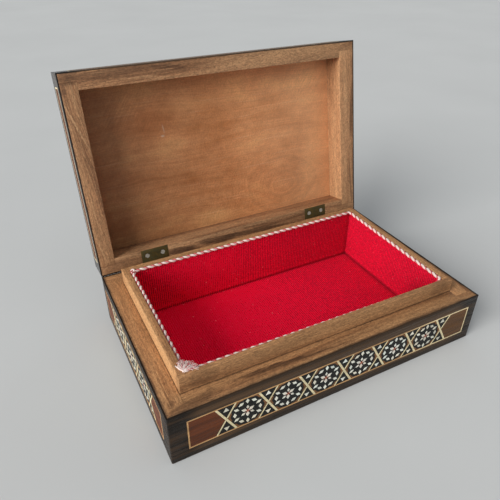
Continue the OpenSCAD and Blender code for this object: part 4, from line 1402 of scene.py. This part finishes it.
class INLAIDBOX_OT_lining(InlaidBoxStep, bpy.types.Operator):
    """Lines the well with ribbed cloth: one sheet on the floor and one on each wall"""
    bl_idname = "inlaid_box.lining"
    bl_label = "Ribbed Lining"

    def execute(self, context):
        recipe = cloth_recipe()
        columns_a_rib, wall_rows, floor_rows = 4, 26, 60
        # How far the walls' cloth reaches below the face of the floor's
        tuck = 0.1 * MM
        left, right = FLOOR_LOW.x, FLOOR_HIGH.x
        front, back = FLOOR_LOW.y, FLOOR_HIGH.y
        foot = FLOOR_HIGH.z - tuck
        wall_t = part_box("back_lining")[1].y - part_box("back_lining")[0].y
        front_top = self.top_ends("front_lining", 0)
        left_top = self.top_ends("left_lining", 1)
        right_top = self.top_ends("right_lining", 1)
        back_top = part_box("back_lining")[1].z
        width, depth = right - left, back - front
        x_mid, y_mid = (left + right) / 2, (front + back) / 2
        walls = [
            # Node, middle of its foot, turn about Z, length, height at its start and end
            ("front_lining", (x_mid, front), 180, width, front_top[1], front_top[0]),
            ("back_lining", (x_mid, back), 0, width, back_top, back_top),
            ("left_lining", (left, y_mid), 90, depth - 2 * wall_t, left_top[0], left_top[1]),
            ("right_lining", (right, y_mid), -90, depth - 2 * wall_t, right_top[1], right_top[0]),
        ]
        for node, (x, y), turn, run, start, end in walls:
            columns = round(run / sizes().rib_pitch) * columns_a_rib
            mesh = recipe.run(node, finish("lining_cloth"), Length=run, Height_start=start - foot,
                              Height_end=end - foot, Columns=columns, Rows=wall_rows)
            cut = (run, (start + end) / 2 - foot)
            place = (Matrix.Translation((x, y, foot)) @ Matrix.Rotation(math.radians(turn), 4, "Z")
                     @ Matrix.Rotation(math.pi / 2, 4, "X"))
            support = "lip_" + node.replace("lining", "board")
            self.sheet(node, mesh, place, cut, "stretched", support, seed=len(node) * 7)
        columns = round(width / sizes().rib_pitch) * columns_a_rib
        mesh = recipe.run("floor_lining", finish("lining_cloth"), Length=width, Height_start=depth,
                          Height_end=depth, Columns=columns, Rows=floor_rows,
                          Thick=FLOOR_HIGH.z - FLOOR_LOW.z)
        place = Matrix.Translation((x_mid, front, FLOOR_LOW.z))
        self.sheet("floor_lining", mesh, place, (width, depth), "laid", "bottom_board", seed=5)
        return {"FINISHED"}

    def top_ends(self, node, axis):
        """Height of a lining's top edge at the low and the high end of an axis."""
        points = [v.co for v in frame["nodes"][node].data.vertices]
        low = min(p[axis] for p in points)
        high = max(p[axis] for p in points)
        return [max(p.z for p in points if abs(p[axis] - end) < 0.01 * MM) for end in (low, high)]

    def sheet(self, node, mesh, place, cut, held, support, seed):
        """Finishes one sheet. Its weave is its place before it is set up, so the ribs follow it."""
        weave = []
        for vertex in mesh.vertices:
            weave.extend((vertex.co.x / MM, vertex.co.y / MM, vertex.co.z / MM + seed * 31.0))
        set_numbers(mesh, "weave", "FLOAT_VECTOR", weave)
        mesh.transform(place)
        mesh.shade_smooth()
        piece = new_object(node + "_cloth", mesh)
        mark(piece)
        settle(piece, "base", None, [node])


class INLAIDBOX_OT_cord(InlaidBoxStep, bpy.types.Operator):
    """Glues the twisted cord round the top of the lining, with its frayed ends in the front left corner"""
    bl_idname = "inlaid_box.cord"
    bl_label = "Trimming Cord"

    def execute(self, context):
        s = sizes()
        # How far the cord's middle stands off the cloth on the walls
        off = 1.5 * MM
        # How far it lies below the lip's top: at the back and right, on the left, and where it dips in front
        sink, deep, dip = 0.6 * MM, 2.1 * MM, 3.78 * MM
        dip_run = 5.0 * MM
        above_well = 30.0 * MM
        left, right = FLOOR_LOW.x + off, FLOOR_HIGH.x - off
        front, back = FLOOR_LOW.y + off, FLOOR_HIGH.y - off
        back_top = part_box("lip_back_board")[1].z
        front_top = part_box("lip_front_board")[1].z
        # The front board's top falls towards the right
        heights = [v.co.z for v in frame["nodes"]["lip_front_board"].data.vertices]
        right_top = min(z for z in heights if z > above_well)
        route = self.rounded([
            Vector((left, front, front_top - deep)), Vector((left, back, back_top - sink)),
            Vector((right, back, back_top - sink)), Vector((right, front, right_top - sink)),
            Vector((right - dip_run, front, right_top - dip)), Vector((left, front, front_top - deep)),
        ], 1.6 * MM)
        recipe = ply_recipe()
        for name, material, ply_r, phase, nodes in (
                ("cord_white_ply", "cord_white", s.white_ply_r, 0.0, ["lining_cord"]),
                ("cord_red_ply", "cord_red", s.red_ply_r, math.pi, [])):
            mesh = recipe.run(name, finish(material), self.line(route), Radius=ply_r, Reach=s.cord_r - ply_r,
                              Phase=phase)
            settle(mark(new_object(name, mesh)), "base", None, nodes)
        self.knob(Vector((left, back, back_top)))
        self.tuft(Vector((left, front, front_top)))
        return {"FINISHED"}

    def rounded(self, corners, radius):
        """The route with each inner corner turned in a small arc."""
        points = [corners[0]]
        for before, at, after in zip(corners, corners[1:], corners[2:]):
            way_in = (at - before).normalized()
            way_out = (after - at).normalized()
            start, end = at - way_in * radius, at + way_out * radius
            for j in range(7):
                t = j / 6
                points.append(start * (1 - t) ** 2 + at * 2 * t * (1 - t) + end * t ** 2)
        points.append(corners[-1])
        return points

    def line(self, points):
        mesh = bpy.data.meshes.new("route")
        mesh.from_pydata([tuple(p) for p in points], [(i, i + 1) for i in range(len(points) - 1)], [])
        return mesh

    def knob(self, at):
        """A fold of the cord standing up in the back left corner."""
        recipe = ply_recipe()
        loop = []
        for j in range(19):
            t = 2 * math.pi * j / 18
            loop.append(at + Vector((0.4 + 1.5 * math.cos(t), -0.9 + 1.3 * math.sin(t) + 0.4 * math.cos(t),
                                     -0.4 + 0.9 * math.sin(t))) * MM)
        for name, material, phase, radius in (("cord_knob_white", "cord_white", 0.0, 0.75),
                                              ("cord_knob_red", "cord_red", math.pi, 0.42)):
            mesh = recipe.run(name, finish(material), self.line(loop), Radius=radius * MM, Reach=0.5 * MM,
                              Phase=phase, Lead=0.005)
            settle(mark(new_object(name, mesh)), "base")

    def tuft(self, at):
        """The frayed ends: untwisted strands that fan out over the lip's corner, with loose fibres."""
        rng = random.Random(4)
        strands = ply_recipe()
        root = at + Vector((-1.8, -1.8, 0.1)) * MM
        meshes = []
        for i in range(14):
            turn = math.radians(-8 + 8.2 * i + rng.uniform(-2.5, 2.5))
            reach = rng.uniform(8.0, 10.5)
            points = []
            for j in range(7):
                t = j / 6
                sag = -1.6 * t * t + 0.5 * math.sin(math.pi * t)
                bend = turn + 0.25 * math.sin(2.2 * t + i)
                out = reach * t
                points.append(root + Vector((out * math.cos(bend), out * math.sin(bend), sag)) * MM)
            meshes.append(strands.run("strand", finish("cord_white"), self.line(points), Radius=0.62 * MM,
                                      Reach=0.18 * MM, Phase=float(i), Lead=0.004))
        settle(mark(new_object("cord_end_strands", joined("cord_end_strands", meshes))), "base",
               "cord_white")
        recipe = fibre_recipe()
        for name, material, count in (
                ("cord_end_white", "cord_white", 240), ("cord_end_red", "cord_red", 90)):
            points, aims = [], []
            for i in range(count):
                turn = math.radians(rng.uniform(-6, 96))
                reach = rng.uniform(0.5, 7.5)
                rise = 0.7 - 0.09 * reach
                base = root + Vector((reach * math.cos(turn), reach * math.sin(turn), rise)) * MM
                points.append(tuple(base))
                aims.append(turn + rng.uniform(-0.5, 0.5))
            mesh = bpy.data.meshes.new("tuft")
            mesh.from_pydata(points, [], [])
            set_numbers(mesh, "aim", "FLOAT", aims)
            made = recipe.run(name, finish(material), mesh, Length=0.0028, Radius=0.00011)
            settle(mark(new_object(name, made)), "base")


class INLAIDBOX_OT_hinges(InlaidBoxStep, bpy.types.Operator):
    """Works the brass leaves and pins of the two hinges, and sets their screws"""
    bl_idname = "inlaid_box.hinges"
    bl_label = "Hinges"

    def execute(self, context):
        for seed, side in enumerate(("left", "right")):
            for part, body in (("base_leaf", "base"), ("lid_leaf", "lid"), ("pin", "base")):
                node = f"{side}_hinge_{part}"
                lid = body == "lid"
                piece = mark(board(node, lid, 0.12 * MM, 0.0), lid, "x", 0.5, seed)
                settle(piece, body, "hinge_brass", [node])
        recipe = screw_recipe()
        head_r = 1.8 * MM
        # From one screw of a leaf to the other
        spread = 13.2 * MM
        for body, turns in (("base", (30, -30)), ("lid", (50, -50))):
            lid = body == "lid"
            node = body + "_hinge_screws"
            low, high = closed_box(node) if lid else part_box(node)
            level = Matrix.Translation((0.0, (low.y + high.y) / 2, LID_LOW_Z if lid else BASE_H))
            place = SWING @ level @ Matrix.Rotation(math.pi, 4, "X") if lid else level
            first, last = low.x + head_r, high.x - head_r
            mesh = bpy.data.meshes.new(node)
            mesh.from_pydata([(x, 0.0, 0.0) for x in (first, first + spread, last - spread, last)], [], [])
            set_numbers(mesh, "aim", "FLOAT", [math.radians(turns[i % 2] + 17 * i) for i in range(4)])
            made = recipe.run(node, finish("screw_steel"), mesh)
            made.transform(place)
            smooth_by_angle(made)
            settle(mark(new_object(node + "_set", made), lid), body, None, [node])
        return {"FINISHED"}


class INLAIDBOX_OT_stage(InlaidBoxStep, bpy.types.Operator):
    """Sets the floor, the lights and the camera"""
    bl_idname = "inlaid_box.stage"
    bl_label = "Stage"

    def execute(self, context):
        scene = context.scene
        floor_mesh = prisms("floor", [rectangle(12.0, 12.0)], -0.02, 0.0, 0.001)
        floor_mesh.materials.append(floor_finish())
        floor_piece = new_object("floor", floor_mesh)
        world = bpy.data.worlds.new("soft_room")
        world.use_nodes = True
        sky = world.node_tree.nodes["Background"].inputs
        sky["Color"].default_value = (0.80, 0.84, 0.88, 1.0)
        sky["Strength"].default_value = 0.42
        scene.world = world
        self.sun("window", (-0.87, -0.25, 0.44), 3.5, 42.0, (1.0, 0.99, 0.97))
        lens = bpy.data.cameras.new("camera")
        lens.lens = 35.9
        lens.sensor_width = 36.0
        camera = new_object("camera", lens)
        camera.location = (-0.16695, -0.26333, 0.27869)
        camera.rotation_euler = (math.radians(56.811), 0.0, math.radians(-27.259))
        scene.camera = camera
        scene.view_settings.view_transform = "Standard"
        return {"FINISHED"}

    def sun(self, name, source, strength, spread, shade):
        """Broad light from far off, from the direction of source."""
        light = bpy.data.lights.new(name, "SUN")
        light.energy = strength
        light.angle = math.radians(spread)
        light.color = shade
        made = new_object(name, light)
        made.rotation_euler = (-Vector(source)).to_track_quat("-Z", "Y").to_euler()


STEPS = [INLAIDBOX_OT_boards, INLAIDBOX_OT_veneers, INLAIDBOX_OT_base_inlay, INLAIDBOX_OT_lid_inlay,
         INLAIDBOX_OT_lining, INLAIDBOX_OT_cord, INLAIDBOX_OT_hinges, INLAIDBOX_OT_stage]


class INLAIDBOX_PT_panel(bpy.types.Panel):
    """Lists the steps that build the box's finish"""
    bl_idname = "INLAIDBOX_PT_panel"
    bl_label = "Inlaid Box"
    bl_space_type = "VIEW_3D"
    bl_region_type = "UI"
    bl_category = "Inlaid Box"

    def draw(self, context):
        for step in STEPS:
            self.layout.operator(step.bl_idname)
        for group in (context.scene.inlaid_box_sizes, context.scene.inlaid_box_colours):
            for name in group.__annotations__:
                self.layout.prop(group, name)


CLASSES = [InlaidBoxSizes, InlaidBoxColours, *STEPS, INLAIDBOX_PT_panel]


def register():
    for one in CLASSES:
        bpy.utils.register_class(one)
    bpy.types.Scene.inlaid_box_sizes = bpy.props.PointerProperty(type=InlaidBoxSizes)
    bpy.types.Scene.inlaid_box_colours = bpy.props.PointerProperty(type=InlaidBoxColours)


def unregister():
    del bpy.types.Scene.inlaid_box_colours
    del bpy.types.Scene.inlaid_box_sizes
    for one in reversed(CLASSES):
        bpy.utils.unregister_class(one)


def main():
    register()
    bpy.ops.inlaid_box.boards()
    bpy.ops.inlaid_box.veneers()
    bpy.ops.inlaid_box.base_inlay()
    bpy.ops.inlaid_box.lid_inlay()
    bpy.ops.inlaid_box.lining()
    bpy.ops.inlaid_box.cord()
    bpy.ops.inlaid_box.hinges()
    bpy.ops.inlaid_box.stage()


if __name__ == "__main__":
    main()
